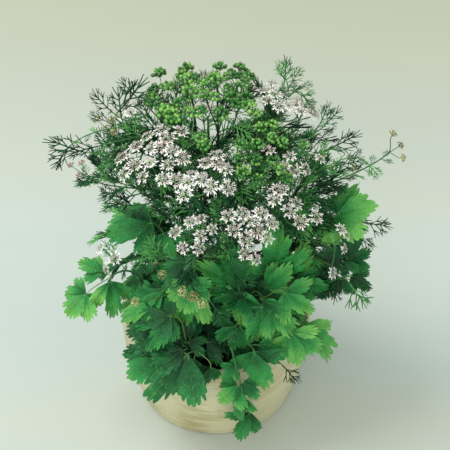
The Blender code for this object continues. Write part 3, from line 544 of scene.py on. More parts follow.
def soilMaterial():
    # Moist peat and loam, crumbled: almost black between the crumbs, red-brown where they are dry
    material, tree, surface = newMaterial("potting soil, crumbled peat and loam", 0.95, 1.3, 0.15)
    tone = addNode(tree, "Attribute", {"attribute_name": "tone"}).outputs["Fac"]
    place = addNode(tree, "TexCoord").outputs["Object"]
    grit = addNode(tree, "TexNoise", {"Scale": perMm(2.5), "Detail": 6.0}, {"Vector": place})   # 2.5 mm grit
    mixed = addNode(tree, "Math", {"operation": "MULTIPLY"}, {0: grit, 1: tone})
    body = colourStops(tree, mixed, [(0.1, "#120a08"), (0.3, "#2c1a13"), (0.6, "#4d3324")])
    bump = addNode(tree, "Bump", {"Strength": 0.8, "Distance": 1 * mm}, {"Height": grit})
    feed(tree, surface, {"Base Color": body, "Normal": bump})
    return material


def makeSoil():
    draw = random.Random(soilForm["seed"])
    top, middle = soilForm["top"], soilForm["middle"]
    rows, sides = soilForm["rows"], soilForm["sides"]
    edge = potRadius(top) - potForm["wall"] - soilForm["gap"]
    low = potForm["floor"] + soilForm["gap"]
    profile = [(r, top) for r in np.linspace(middle, edge, rows)]
    profile += [(potRadius(h) - potForm["wall"] - soilForm["gap"], h) for h in soilForm["side"]]
    profile += [(potRadius(soilForm["side"][-1]) - soilForm["inset"], low), (middle, low)]
    shape = turnedShape(profile, sides)
    points = shape["points"][0]
    for k in range(rows * sides):   # swells of 15 to 27 mm, and grain
        x, y = points[k, 0] / mm, points[k, 1] / mm
        rough = math.sin(x * 0.31 + 2 * math.sin(y * 0.23)) + math.sin(y * 0.41 + 1.7 * math.sin(x * 0.37))
        points[k, 2] += (rough * 0.35 + draw.uniform(-0.5, 0.5)) * soilForm["clod"] * mm * 0.7
    patterns = [crumbPattern(draw) for _ in range(soilForm["crumbKinds"])]
    for _ in range(soilForm["crumbs"]):
        reach = edge * math.sqrt(draw.random()) * soilForm["crumbReach"]
        turn = draw.uniform(0, 2 * math.pi)
        size = draw.uniform(*soilForm["crumbSize"]) * mm
        height = (top - soilForm["sunk"]) * mm + size * 0.4
        spot = Vector((reach * math.cos(turn) * mm, reach * math.sin(turn) * mm, height))
        axes = axesUp(Vector([draw.uniform(-1, 1) for _ in range(3)]).normalized(), draw.uniform(0, 6))
        placeShape(shape, draw.choice(patterns), axes, spot, size, draw.uniform(-0.4, 0.4))
    soil = makeObject("crumbled_soil", shape, [soilMaterial()], 80)
    stand(soil, "potting_soil")


makeSoil()
print("soil made")


# Broad fronds

leafForm = {
    # One side of a lobe, from its rib: the tips of its teeth and the notches after them, as degrees and reach
    "tips": ((0, 1.0), (9.5, 0.98), (20.5, 0.92), (29, 0.82), (35.5, 0.67)),
    "notches": ((4.8, 0.9), (15, 0.77), (25, 0.8), (32.5, 0.64), (47, 0.2)),
    "lobes": ((-51, 0.88), (51, 0.88), (0, 1.0)),   # degrees from the leaf's middle, and reach
    "lowLobes": ((-94, 0.66), (94, 0.66)), "lowFrom": 1.05,   # more on a leaf broader than this
    "shares": (0.2, 0.44, 0.67, 0.86, 1.0),   # rows of points from foot to edge
    "steps": 2, "kinds": 10, "seed": 40,   # points along each side of a tooth, and how many outlines
    "shift": 1.3, "uneven": (0.94, 1.03),   # degrees and reach by which teeth differ
    "thickness": 0.35, "layer": 0.3,   # mm, of a blade, and from one lobe up to the next
    "droop": 0.2, "puff": 0.05, "fold": 0.24, "wave": 0.09,   # relief over length
    "bend": (0.5, 1.6), "folds": (0.3, 1.3), "waves": (4, 8),   # shares of droop and fold, and waves
    "narrow": (0.58, 0.7), "turns": (0.88, 1.1), "sizes": (0.9, 1.06),   # of each lobe, as shares
    "lean": (-0.1, 0.35), "tilt": 0.3, "shade": 0.12,   # how side lobes hang, and how lobes differ
}


def lobeOutline(draw):   # angle, reach and vein number along the edge; veins end in the tips
    right = []
    for tip, notch in zip(leafForm["tips"], leafForm["notches"]):
        right += [tip, notch]
    marks = []
    for i, (angle, reach) in enumerate(right):
        for side in ((1, -1) if i else (1,)):
            shift = draw.uniform(-leafForm["shift"], leafForm["shift"]) if 0 < i < len(right) - 1 else 0
            marks.append((side * (angle + shift), reach * draw.uniform(*leafForm["uneven"]), side * i / 2))
    marks.sort()
    angles, reaches, veins = [], [], []
    for (a, low, v), (b, high, w) in zip(marks, marks[1:]):
        for k in range(leafForm["steps"]):
            share = k / leafForm["steps"]
            bent = 1 - (1 - share) ** 2.2 if high > low else share ** 2.2   # round tips, sharp notches
            angles.append(a + (b - a) * share)
            reaches.append(low + (high - low) * bent)
            veins.append(v + (w - v) * share)
    angles.append(marks[-1][0])
    reaches.append(marks[-1][1])
    veins.append(marks[-1][2])
    return np.array(angles), np.array(reaches), np.array(veins)


def bladeFaces(count):   # the faces of a closed thin blade with this many points along its edge
    rows = len(leafForm["shares"])
    total = 1 + rows * count
    column = np.arange(count - 1)
    fan = np.stack([np.zeros(count - 1, int), 1 + column, 2 + column], axis=1)
    row, col = np.meshgrid(np.arange(rows - 1), column, indexing="ij")
    a = (1 + row * count + col).ravel()
    net = np.stack([a, a + count, a + count + 1, a + 1], axis=1)
    out = [1 + r * count for r in range(rows)]
    edge = [1 + (rows - 1) * count + c for c in range(1, count - 1)]
    back = [count * (r + 1) for r in reversed(range(rows))]
    loop = np.array([0] + out + edge + back)
    ahead = np.roll(loop, -1)
    rim = np.stack([loop + total, ahead + total, ahead, loop], axis=1)
    return fan, net, fan[:, ::-1] + total, net[:, ::-1] + total, rim


lobeOutlines = [lobeOutline(random.Random(leafForm["seed"] + k)) for k in range(leafForm["kinds"])]
lobeFaces = bladeFaces(len(lobeOutlines[0][0]))


def addLobe(shape, draw, foot, way, face, length, narrow, bend, tone):
    # A wedge with a toothed end, arched, folded along its rib and waved at its edge; painted shade at its
    # foot, painted highlight towards its teeth
    angles, reaches, veins = draw.choice(lobeOutlines)
    share = np.array(leafForm["shares"])[:, None]
    off = angles / angles[-1]
    theta = np.radians(angles[-1] * np.sign(off) * np.abs(off) ** (1 + 0.9 * (1 - share)))
    far = reaches * share
    x = np.cos(theta) * far
    y = np.sin(theta) * far * narrow
    phase = draw.uniform(0, 6)
    z = -leafForm["droop"] * bend * (x * x + 0.4 * y * y)
    z += leafForm["puff"] * far * np.sin(8 * x + phase) * np.sin(9 * y + 2 * phase)
    z += leafForm["fold"] * draw.uniform(*leafForm["folds"]) * np.abs(y)
    z += leafForm["wave"] * far**2.5 * np.sin(theta * draw.uniform(*leafForm["waves"]) + phase)
    skin = np.stack([x, y, z], axis=2).reshape(-1, 3) * length
    skin = np.concatenate([[[0, 0, 0]], skin])
    under = skin - (0, 0, leafForm["thickness"] * mm)
    points = np.concatenate([skin, under]) @ axesOf(way, face) + np.array(foot)
    maps = np.stack([np.broadcast_to(veins, x.shape), np.broadcast_to(share, x.shape)], axis=2)
    maps = np.concatenate([[[0, 0]], maps.reshape(-1, 2)])
    maps = np.concatenate([maps, maps])
    fan, net, fanUnder, netUnder, rim = lobeFaces
    start = shape["total"]
    # painted shade: the tone falls at the foot, where lobes overlap; painted highlight: it rises towards the
    # teeth
    lights = np.tile(np.concatenate([[tone - 0.3], tone + 0.5 * (far.ravel() - 0.65)]), 2)
    addBlock(shape, points, [fan, net, rim], 0, maps, lights)
    for block in (fanUnder, netUnder):
        shape["faces"].append(block + start)
        shape["finishes"].append(np.full(len(block), 1))


def addLeaflet(shape, draw, base, tip, face, breadth, tone):
    # A blade from base to tip in three lobes or five that overlap at the foot, the middle one on top
    length = (tip - base).length
    along = (tip - base).normalized()
    normal = squareTo(along, face)
    narrow = draw.uniform(*leafForm["narrow"]) * (0.66 + 0.4 * breadth**2)
    bend = draw.uniform(*leafForm["bend"])
    lobes = (leafForm["lowLobes"] if breadth > leafForm["lowFrom"] else ()) + leafForm["lobes"]
    for number, (angle, reach) in enumerate(lobes):
        turn = math.radians(angle) * min(breadth, 1) * draw.uniform(*leafForm["turns"])
        way = Quaternion(normal, turn) @ along
        if angle:
            way = (way - normal * draw.uniform(*leafForm["lean"])).normalized()
            reach *= 0.5 + 0.5 * min(breadth, 1)   # a narrow leaflet has short side lobes
        tilted = normal + normal.cross(way) * draw.uniform(-leafForm["tilt"], leafForm["tilt"])
        foot = base + normal * number * leafForm["layer"] * mm
        size = length * reach * draw.uniform(*leafForm["sizes"])
        shade = draw.uniform(-leafForm["shade"], leafForm["shade"])
        addLobe(shape, draw, foot, way, tilted, size, narrow, bend, tone + shade)


stalkStart = {"height": 72, "straight": 26}   # mm, a stalk's foot in the soil, and its straight part


def risingPath(root, goal, arrival, steps):   # up out of the soil, then a long bend out to the goal
    foot = Vector((root[0] * mm, root[1] * mm, stalkStart["height"] * mm))
    clear = foot + up * stalkStart["straight"] * mm
    return [foot] + swing(clear, up, goal, arrival, steps, 0.4)


# Each frond: root in the soil (mm), fork (place in the view and depth in mm), tone from dark 0 to pale 1
# (partly the frond's own colour, partly painted shade and light), and its leaflets: base place, tip place,
# depth of each, breadth over length
fronds = {
    "broad_frond_left_low": dict(root=(-62, -6), fork=(111, 277, -30), tone=0.86, leaflets=(
        (86, 294, 64, 318, -36, -50, 1.25),
        (103, 271, 76, 261, -24, -18, 0.9),
        (111, 281, 115, 321, -40, -60, 0.8))),
    "broad_frond_left_high": dict(root=(-50, 18), fork=(158, 227, -12), tone=0.6, leaflets=(
        (153, 223, 103, 235, -14, -26, 1.0),
        (163, 233, 172, 258, -24, -46, 1.0))),
    "broad_frond_left_edge": dict(root=(-46, -24), fork=(160, 289, -62), tone=0.6, leaflets=(
        (164, 290, 117, 323, -66, -82, 0.42),
        (152, 290, 134, 297, -54, -52, 0.9),
        (168, 304, 131, 327, -62, -72, 0.95),
        (166, 284, 158, 262, -44, -34, 0.8))),
    "broad_frond_pale": dict(root=(-20, -36), fork=(192, 279, -78), tone=0.74, leaflets=(
        (190, 285, 189, 318, -86, -102, 1.3),
        (196, 292, 174, 330, -70, -84, 0.9))),
    "broad_frond_front_left": dict(root=(-36, -48), fork=(185, 346, -86), tone=0.3, leaflets=(
        (154, 351, 119, 355, -84, -86, 1.15),
        (184, 346, 134, 338, -94, -92, 0.95),
        (184, 350, 146, 358, -102, -104, 0.85),
        (172, 316, 132, 322, -86, -86, 1.15),
        (166, 336, 130, 345, -90, -90, 1.1),
        (156, 325, 123, 335, -90, -92, 1.0),
        (156, 358, 124, 380, -98, -102, 1.2),
        (190, 338, 194, 316, -84, -74, 0.9),
        (188, 342, 206, 357, -90, -98, 0.9))),
    "broad_frond_front_low": dict(root=(-16, -64), fork=(196, 352, -94), tone=0.4, leaflets=(
        (188, 354, 148, 401, -106, -120, 1.04),
        (194, 358, 180, 402, -102, -116, 0.7),
        (211, 367, 203, 388, -106, -114, 0.9))),
    "broad_frond_centre": dict(root=(8, -30), fork=(244, 298, -54), tone=0.62, leaflets=(
        (239, 290, 232, 246, -68, -76, 0.38),
        (233, 283, 196, 263, -60, -68, 0.35),
        (241, 303, 222, 308, -66, -74, 0.8),
        (238, 297, 201, 284, -64, -68, 0.45),
        (236, 326, 211, 342, -82, -88, 0.9),
        (240, 326, 246, 352, -84, -92, 0.7))),
    "broad_frond_centre_high": dict(root=(24, -16), fork=(264, 284, -44), tone=0.66, leaflets=(
        (275, 273, 275, 229, -46, -58, 0.75),
        (263, 274, 249, 264, -50, -56, 0.9),
        (266, 288, 290, 271, -58, -70, 0.62))),
    "broad_frond_right_high": dict(root=(44, -10), fork=(288, 282, -36), tone=0.7, leaflets=(
        (292, 276, 310, 245, -36, -44, 0.85),
        (294, 280, 331, 288, -46, -58, 0.65))),
    "broad_frond_right_mid": dict(root=(34, -40), fork=(264, 298, -66), tone=0.62, leaflets=(
        (284, 292, 316, 317, -76, -92, 1.0),
        (262, 300, 284, 314, -82, -92, 0.55),
        (262, 306, 256, 344, -76, -90, 1.1),
        (270, 310, 297, 334, -80, -90, 0.95))),
    "broad_frond_right_low": dict(root=(58, -34), fork=(298, 322, -70), tone=0.82, leaflets=(
        (292, 332, 298, 371, -86, -102, 1.1),
        (303, 325, 342, 358, -72, -80, 0.6))),
    "broad_frond_right_top": dict(root=(58, 16), fork=(335, 222, -14), tone=0.88, leaflets=(
        (337, 215, 378, 204, -18, -26, 1.2),
        (333, 230, 322, 247, -24, -34, 0.9))),
    "broad_frond_right_dark": dict(root=(64, -8), fork=(345, 268, -22), tone=0.25, leaflets=(
        (350, 260, 373, 250, -20, -18, 1.0),
        (351, 275, 372, 292, -30, -38, 0.85),
        (342, 277, 333, 300, -34, -46, 0.8),
        (341, 265, 322, 254, -30, -36, 1.0),
        (347, 257, 346, 236, -24, -30, 0.9),
        (343, 262, 360, 272, -26, -32, 1.1))),
    "broad_frond_front_right": dict(root=(32, -60), fork=(250, 346, -90), tone=0.5, leaflets=(
        (254, 351, 264, 392, -104, -118, 1.05),
        (258, 345, 284, 352, -92, -96, 0.8))),
    # This one rises to a crest over the rim, and hangs down from it
    "broad_frond_hanging": dict(root=(12, -68), crest=(233, 354, -102), fork=(246, 412, -121),
                                tone=0.66, leaflets=(
        (236, 366, 221, 381, -106, -112, 0.9),
        (238, 386, 216, 405, -112, -119, 1.04),
        (243, 397, 235, 422, -114, -126, 0.95),
        (250, 412, 235, 446, -113, -128, 0.85),
        (243, 382, 260, 401, -112, -120, 1.04))),
}
# Fronds at the back: the way they point, the height of their fork in mm and their root's reach
backFronds = {
    "broad_frond_back_right": dict(azimuth=38, height=172, root=52),
    "broad_frond_back": dict(azimuth=88, height=158, root=54),
    "broad_frond_back_left": dict(azimuth=139, height=176, root=50),
}
frondForm = {   # sizes in mm, angles in degrees
    "stalk": 1.4, "stalkEnd": 0.8, "leafletStalk": 0.6,   # radii
    "over": 12, "down": 14,   # how far a hanging stalk's bend runs out, and down
    "backReach": 92, "backStalk": 14, "backLeaflet": 44,
    "backLeaflets": ((0, 1.0, 1.0), (52, 0.82, 0.9), (-52, 0.82, 0.9)),   # turn, share of length, breadth
    "lower": 4, "lowerFrom": 0.3, "lowerAlong": 0.6,   # leaflets low on each stalk, and its share they take
    "lowerLength": (27, 38), "lowest": 113, "lowerLift": 4,   # their length, and heights of tip and base
    "lowerTurn": (35, 105), "lowerStalk": (5, 9), "lowerRise": (-16, 6), "lowerBreadth": (0.9, 1.15),
    "clear": 0.42,   # the share of a front leaflet's length round it that stays free in the view
}


def lowerLeaflets(draw, path):   # on the stalk below the fork, in turn to each side, over soil and rim
    leaflets = []
    for k in range(frondForm["lower"]):
        share = k + draw.uniform(0, 0.6)
        share = frondForm["lowerFrom"] + frondForm["lowerAlong"] * share / frondForm["lower"]
        joint = path[int(share * (len(path) - 1))]
        out = Vector((joint.x, joint.y, 0)).normalized()
        side = Quaternion(up, math.radians(draw.uniform(*frondForm["lowerTurn"])) * (-1) ** k) @ out
        base = joint + side * draw.uniform(*frondForm["lowerStalk"]) * mm + up * 2 * mm
        tip = base + side * draw.uniform(*frondForm["lowerLength"]) * mm
        base.z = max(base.z, (frondForm["lowest"] + frondForm["lowerLift"]) * mm)
        tip.z = max(base.z + draw.uniform(*frondForm["lowerRise"]) * mm, frondForm["lowest"] * mm)
        if not (standsBefore(base) or standsBefore((base + tip) / 2) or standsBefore(tip)):
            face = up + out * 0.4 + towardView * 0.5
            leaflets.append((base, tip, face, draw.uniform(*frondForm["lowerBreadth"])))
    return leaflets


def growFrond(name, root, fork, arrival, leaflets, crest, tone):
    draw = random.Random(name)
    shape = newShape()
    if crest is None:
        rising = risingPath(root, fork, arrival, 14)
        path = rising
    else:
        away = (fork - crest).normalized()
        rising = risingPath(root, crest, away, 10)
        over, down = away * frondForm["over"] * mm, up * frondForm["down"] * mm
        path = rising + bezier(crest, crest + over, fork + down, fork, 8)[1:]
    addTube(shape, path, [frondForm["stalk"] * mm, frondForm["stalkEnd"] * mm], 8, 2, 0.45, 0.06)
    back = (path[-2] - path[-1]).normalized()
    first = len(leaflets)
    for i, (base, tip, face, breadth) in enumerate(leaflets + lowerLeaflets(draw, rising)):
        joint = path[-1] + back * (0.3 + 0.7 * i) * mm   # one below another, under the fork
        if crest is not None or i >= first:   # a hanging stalk, or a low leaflet: at the nearest point
            nearby = path[3:] + ([joint] if i < first else [])
            joint = min(nearby, key=lambda point: (point - base).length)
        along = (tip - base).normalized()
        reach = (base - joint).length
        bend = joint + (base - joint) * 0.35
        way = bezier(joint, bend, base - along * reach * 0.35, base + along * 1.5 * mm, 5)
        thick = frondForm["leafletStalk"]
        addTube(shape, way, [thick * mm, thick * 0.8 * mm], 5, 2, 0.65)
        # low leaflets, lying under the others, get a darker tone: painted shade
        shade = draw.uniform(-0.18, 0.18) if i < first else draw.uniform(-0.4, -0.1)
        addLeaflet(shape, draw, base, tip, face, breadth, tone + shade)
    frond = makeObject("leafy_" + name, shape, [leafFace, leafBack, stalkSkin])
    stand(frond, name)


def growFrontFrond(name, facts):
    draw = random.Random(name)
    leaflets = []
    arrival = Vector()
    for baseX, baseY, tipX, tipY, baseDepth, tipDepth, breadth in facts["leaflets"]:
        base = seen(baseX, baseY, baseDepth)
        tip = seen(tipX, tipY, tipDepth)
        lean = Vector((draw.uniform(-0.45, 0.45), draw.uniform(-0.2, 0.2), draw.uniform(0, 0.6)))
        leaflets.append((base, tip, towardView + lean, breadth))
        arrival += (tip - base).normalized()
        keepClear((base + tip) / 2, math.hypot(tipX - baseX, tipY - baseY) * frondForm["clear"])
    fork = seen(*facts["fork"])
    crest = seen(*facts["crest"]) if "crest" in facts else None
    growFrond(name, facts["root"], fork, arrival.normalized(), leaflets, crest, facts["tone"])


def growBackFrond(name, facts):
    turn = math.radians(facts["azimuth"])
    away = Vector((math.cos(turn), math.sin(turn), 0))
    fork = away * frondForm["backReach"] * mm + up * facts["height"] * mm
    leaflets = []
    for spread, size, breadth in frondForm["backLeaflets"]:
        way = Quaternion(up, math.radians(spread)) @ away
        way = (way - up * 0.25).normalized()
        base = fork + way * frondForm["backStalk"] * mm
        tip = base + way * frondForm["backLeaflet"] * size * mm
        leaflets.append((base, tip, up + away * 0.4, breadth))
    arrival = (away + up * 0.2).normalized()
    root = (away.x * facts["root"], away.y * facts["root"])
    growFrond(name, root, fork, arrival, leaflets, None, 0.5)


for name, facts in fronds.items():
    growFrontFrond(name, facts)
for name, facts in backFronds.items():
    growBackFrond(name, facts)
print("broad fronds made")


# Feathery leaves: the finely cut leaves of the flowering stems

featherForm = {
    "kinds": 9, "seed": 60,
    "rib": 0.024, "thread": 0.0205, "tip": 0.012,   # radii over the leaf's length
    "pairs": (0.24, 0.42, 0.6), "pairLean": (34, 56), "split": (24, 40),   # side threads, and degrees
    "ribEnd": 0.72, "lastFrom": 0.7, "lastLeans": (-0.42, 0.02, 0.42),   # three threads end the rib
    "whole": 1.05,   # how far the last threads reach
}


def featherPattern(draw):   # one unit long, lying along X and facing Z
    shape = newShape()
    droop = draw.uniform(-0.05, 0.3)
    sway = draw.uniform(-0.15, 0.15)

    def rib(t):
        return np.array([t, sway * t * t, -droop * t * t])

    def thread(root, lean, rise, length, points):
        way = np.array([math.cos(lean), math.sin(lean), rise])
        bend = np.array([0.2, -0.15 * math.sin(lean), draw.uniform(-0.2, 0.1)]) * length
        path = [root + way * length * t + bend * t * t for t in np.linspace(0, 1, points)]
        addTube(shape, path, [featherForm["thread"], featherForm["tip"]], 3, 0, draw.uniform(0.3, 0.7))
        return path[points // 2]

    path = [rib(t) for t in np.linspace(0, featherForm["ribEnd"], 4)]
    addTube(shape, path, [featherForm["rib"], featherForm["thread"]], 3)
    for pair in featherForm["pairs"]:
        for side in (-1, 1):
            lean = side * math.radians(draw.uniform(*featherForm["pairLean"]))
            length = (0.52 - 0.4 * pair) * draw.uniform(0.8, 1.25)
            middle = thread(rib(pair + draw.uniform(-0.04, 0.04)), lean, draw.uniform(-0.1, 0.3), length, 3)
            for turn in (-1, 1)[:draw.choice((1, 2, 2))]:
                split = lean + turn * math.radians(draw.uniform(*featherForm["split"]))
                thread(middle, split, draw.uniform(-0.2, 0.3), length * draw.uniform(0.45, 0.7), 2)
    for lean in featherForm["lastLeans"]:
        lean += draw.uniform(-0.12, 0.12)
        thread(rib(featherForm["lastFrom"]), lean, draw.uniform(-0.2, 0.1), draw.uniform(0.22, 0.32), 2)
    return packShape(shape)


featherDraws = [random.Random(featherForm["seed"] + k) for k in range(featherForm["kinds"])]
featherPatterns = [featherPattern(draw) for draw in featherDraws]


def addFeather(shape, draw, root, along, length):
    # A feathery leaf, shortened until it stays inside the crown's dome
    while length > stemForm["leafLeast"] * mm and crownShare(root + along * length) > 1.0:
        length -= stemForm["leafTrim"] * mm
    if standsBefore(root + along * length * 0.5) or standsBefore(root + along * length):
        return
    face = up + Vector([draw.uniform(-0.6, 0.6) for _ in range(3)])
    pattern = draw.choice(featherPatterns)
    placeShape(shape, pattern, axesOf(along, face), root, length, draw.uniform(-0.5, 0.45))


# Heads: umbels of umbellets, in flower, in bud, faded or in fruit

umbelForm = {   # sizes in mm
    "sink": 0.9, "spread": 0.62, "sag": 0.12,   # its hub's depth and its umbellets' reach, over its radius
    "middling": 14.5, "large": 19.5,   # radii above which an umbel has five umbellets, and seven, not four
    "small": 15.5, "smallSize": 0.85,   # up to this radius, its umbellets are smaller
    "ray": 0.55, "rayEnd": 0.38, "rayStop": 4.2, "apart": 12,   # rays end below their umbellets' places
    "twin": (0.8, 0.7), "twinDrop": 14,   # a second umbel's twig, its radii and how far it hangs
    "hub": 1.2, "clear": 6,   # its hub's disc, and view units round each umbellet that stay free
}
umbelletForm = {   # sizes in mm, leans in degrees
    "kinds": 5, "outerShare": 0.7, "outerLean": (55, 72), "innerLean": (12, 34),   # a ring, and the rest
    "florets": 11, "budsLess": 3, "pedicel": 4.4, "stalk": (0.26, 0.2),   # a floret's stalk, and its radii
    "petal": 1.9, "outerPetal": 5.6, "limpPetal": (1.8, 3.4),   # lengths, the last when faded
    "outerTurns": (0, 0.7, 2.3, -2.3, -0.7), "outerSizes": (1, 0.7, 0.3, 0.3, 0.7),   # outer florets' petals
    "disc": 0.6, "anther": 0.3, "bud": (0.9, 1.3), "budStalk": 0.8,   # radii, and a stalk's share in bud
    "fruits": 15, "fruitStalk": 4.5, "fruit": 1.68, "style": (0.5, 0.18),   # radii of a fruit and its tip
    "bracts": 3, "bract": (0.3, 0.12),   # the small leaves below, and their radii
}


def wayOf(lean, turn):   # the direction that leans from upright, turned about it
    return np.array([math.sin(lean) * math.cos(turn), math.sin(lean) * math.sin(turn), math.cos(lean)])


def petalPattern():   # cleft in two, one unit long from its claw, a closed lens along X that faces Z
    rim = np.array([(0.06, 0.035, 0), (0.6, 0.11, 0.05), (1.04, 0.17, 0.12), (0.76, 0, 0.02),
                    (1.04, -0.17, 0.12), (0.6, -0.11, 0.05), (0.06, -0.035, 0)])
    ring = np.arange(len(rim))
    points = np.concatenate([rim, [(0.45, 0, 0.04), (0.45, 0, -0.05)]])
    shape = newShape()
    tone = np.clip(points[:, 0] * 1.3 - 0.15, 0, 1)   # dark at the claw: partly the petal's own colour and partly painted shade
    addBlock(shape, points, [fanFaces(ring, len(rim), True), fanFaces(ring, len(rim) + 1)], 1, None, tone)
    return packShape(shape)


petal = petalPattern()


def ballPattern(sides, rows, finish, squash=1.0):   # a unit ball whose map runs round it and up it
    leans = np.linspace(0, np.pi, rows + 1)[1:-1]
    cosines, sines = circle(sides)
    points = np.stack([np.outer(np.sin(leans), cosines), np.outer(np.sin(leans), sines),
                       np.outer(np.cos(leans), np.ones(sides)) * squash], axis=2).reshape(-1, 3)
    points = np.concatenate([points, [(0, 0, squash), (0, 0, -squash)]])
    ring = np.arange(sides)
    total = len(leans) * sides
    caps = np.concatenate([fanFaces(ring, total), fanFaces(total - sides + ring, total + 1, True)])
    maps = np.concatenate([ringMaps(leans / np.pi, sides), [[0, 0], [0, 1]]])
    shape = newShape()
    bands = [ringFaces(len(leans), sides)[:, ::-1]] if len(leans) > 1 else []
    addBlock(shape, points, bands + [caps], finish, maps)
    return packShape(shape)


fruitBall = ballPattern(9, 5, 1, 1.02)
budBall = ballPattern(6, 4, 1, 1.25)
discBall = ballPattern(5, 3, 0, 0.8)
antherBall = ballPattern(3, 2, 2)


def addFloret(shape, draw, spot, face, out, large):
    # Five petals round a small green disc: those on the umbellet's outer side are the largest
    for k in range(5):
        around = 2 * math.pi * k / 5
        size = umbelletForm["petal"]
        if large:
            around = umbelletForm["outerTurns"][k]
            size = umbelletForm["outerPetal"] * umbelletForm["outerSizes"][k] * draw.uniform(0.75, 1.1)
        turn = Quaternion(face, around + draw.uniform(-0.14, 0.14))
        way = (turn @ out + face * draw.uniform(-0.05, 0.3)).normalized()
        placeShape(shape, petal, axesOf(way, face), spot + face * 0.25, size, draw.uniform(-0.12, 0.2))
        stamen = (turn @ squareTo(face, out + face.cross(out) * 0.7) * 1.1 + face * 1.5)
        placeShape(shape, antherBall, np.eye(3), spot + stamen, umbelletForm["anther"])
    placeShape(shape, discBall, axesUp(face, 0), spot + face * 0.1, umbelletForm["disc"], 0.2)


def umbelletPattern(draw, kind):
    # In millimetres, with its foot at the origin and facing Z
    shape = newShape()
    fruiting = kind == "fruit"
    count = umbelletForm["fruits"] if fruiting else umbelletForm["florets"]
    if kind == "bud":
        count -= umbelletForm["budsLess"]
    for k in range(count):
        outer = k < count * umbelletForm["outerShare"]
        ring = round(count * umbelletForm["outerShare"])
        ring = ring if outer else count - ring
        lean = math.radians(draw.uniform(*umbelletForm["outerLean" if outer else "innerLean"]))
        turn = 2 * math.pi * (k + (0 if outer else 0.4)) / max(ring, 1) + draw.uniform(-0.2, 0.2)
        way = Vector(wayOf(lean, turn))
        reach = umbelletForm["fruitStalk"] if fruiting else umbelletForm["pedicel"]
        reach *= draw.uniform(0.85, 1.1) * (umbelletForm["budStalk"] if kind == "bud" else 1)
        spot = way * reach + up * 0.6
        addTube(shape, [Vector(), way * reach * 0.5 + up * 0.7, spot], umbelletForm["stalk"], 3)
        if fruiting:
            size = umbelletForm["fruit"] * draw.uniform(0.85, 1.08)
            placeShape(shape, fruitBall, axesUp(way, draw.uniform(0, 6)), spot + way * size * 0.9, size,
                       draw.uniform(-0.3, 0.25))
            crest = spot + way * size * 1.8   # the dried style stands on it
            addTube(shape, [crest - way * 0.3, crest + way * 0.9], umbelletForm["style"], 3, 2)
        elif kind == "bud":
            size = draw.uniform(*umbelletForm["bud"])
            placeShape(shape, budBall, axesUp(way, 0), spot + way * 0.7, size, draw.uniform(-0.3, 0.3))
        elif kind == "faded":
            size = draw.uniform(*umbelletForm["bud"])   # the disc swells as the petals wither
            placeShape(shape, discBall, axesUp(way, 0), spot + way * 0.8, size, 0.2)
            for j in range(5):
                turned = Quaternion(way, 1.3 * j + draw.uniform(0, 1)) @ squareTo(way, up)
                limp = (turned - way * 0.2).normalized()
                size = draw.uniform(*umbelletForm["limpPetal"])
                placeShape(shape, petal, axesOf(limp, way), spot + way * 1.3, size, draw.uniform(-0.6, 0.5))
        else:
            face = (way * draw.uniform(0.4, 0.9) + up * 0.7).normalized()
            addFloret(shape, draw, spot, face, squareTo(face, way), outer)
    for k in range(umbelletForm["bracts"]):
        turn = 2.1 * k + draw.uniform(-0.4, 0.4)
        addTube(shape, [Vector(), wayOf(1.3, turn) * 2, wayOf(1.5, turn) * 3.6], umbelletForm["bract"], 3)
    return packShape(shape)


umbellets = {}
for kind in ("open", "bud", "faded", "fruit"):
    draws = [random.Random(f"{kind}{k}") for k in range(umbelletForm["kinds"])]
    umbellets[kind] = [umbelletPattern(draw, kind) for draw in draws]
print("umbellets made")

# Each head: its umbels (place in the view and radius in mm), and where its umbellets show in the view
fruitHeads = {
    "fruit_head_far_left": dict(umbels=((160, 90, 20),), size=1.18, shown=(
        (159, 73), (168, 86), (154, 103), (156, 88))),
    "fruit_head_left": dict(umbels=((189, 77, 17),), size=1.18, shown=(
        (186, 68), (195, 78), (187, 79), (190, 91))),
    "fruit_head_top": dict(umbels=((217, 74, 17), (243, 77, 15)), size=1.18, shown=(
        (220, 66), (215, 78), (229, 90), (241, 67), (244, 83), (207, 84))),
    "fruit_head_low_left": dict(umbels=((178, 111, 17),), size=1.18, shown=(
        (181, 102), (171, 113), (172, 120), (163, 110))),
    "fruit_head_mid_left": dict(umbels=((207, 108, 19), (203, 140, 12)), size=1.18, shown=(
        (199, 94), (213, 97), (200, 111), (221, 113), (201, 137), (204, 144))),
    "fruit_head_upper": dict(umbels=((237, 104, 16),), size=1.18, shown=(
        (239, 103), (232, 96), (247, 97), (250, 107))),
    "fruit_head_right": dict(umbels=((269, 130, 21),), shown=(
        (256, 113), (261, 126), (273, 137), (283, 142))),
    "fruit_head_middle": dict(umbels=((248, 153, 23),), shown=(
        (258, 143), (241, 143), (256, 159), (239, 158), (243, 171), (258, 180))),
    "fruit_head_low_right": dict(umbels=((282, 168, 19), (305, 143, 9)), shown=(
        (273, 158), (288, 178), (280, 168), (304, 143))),
}
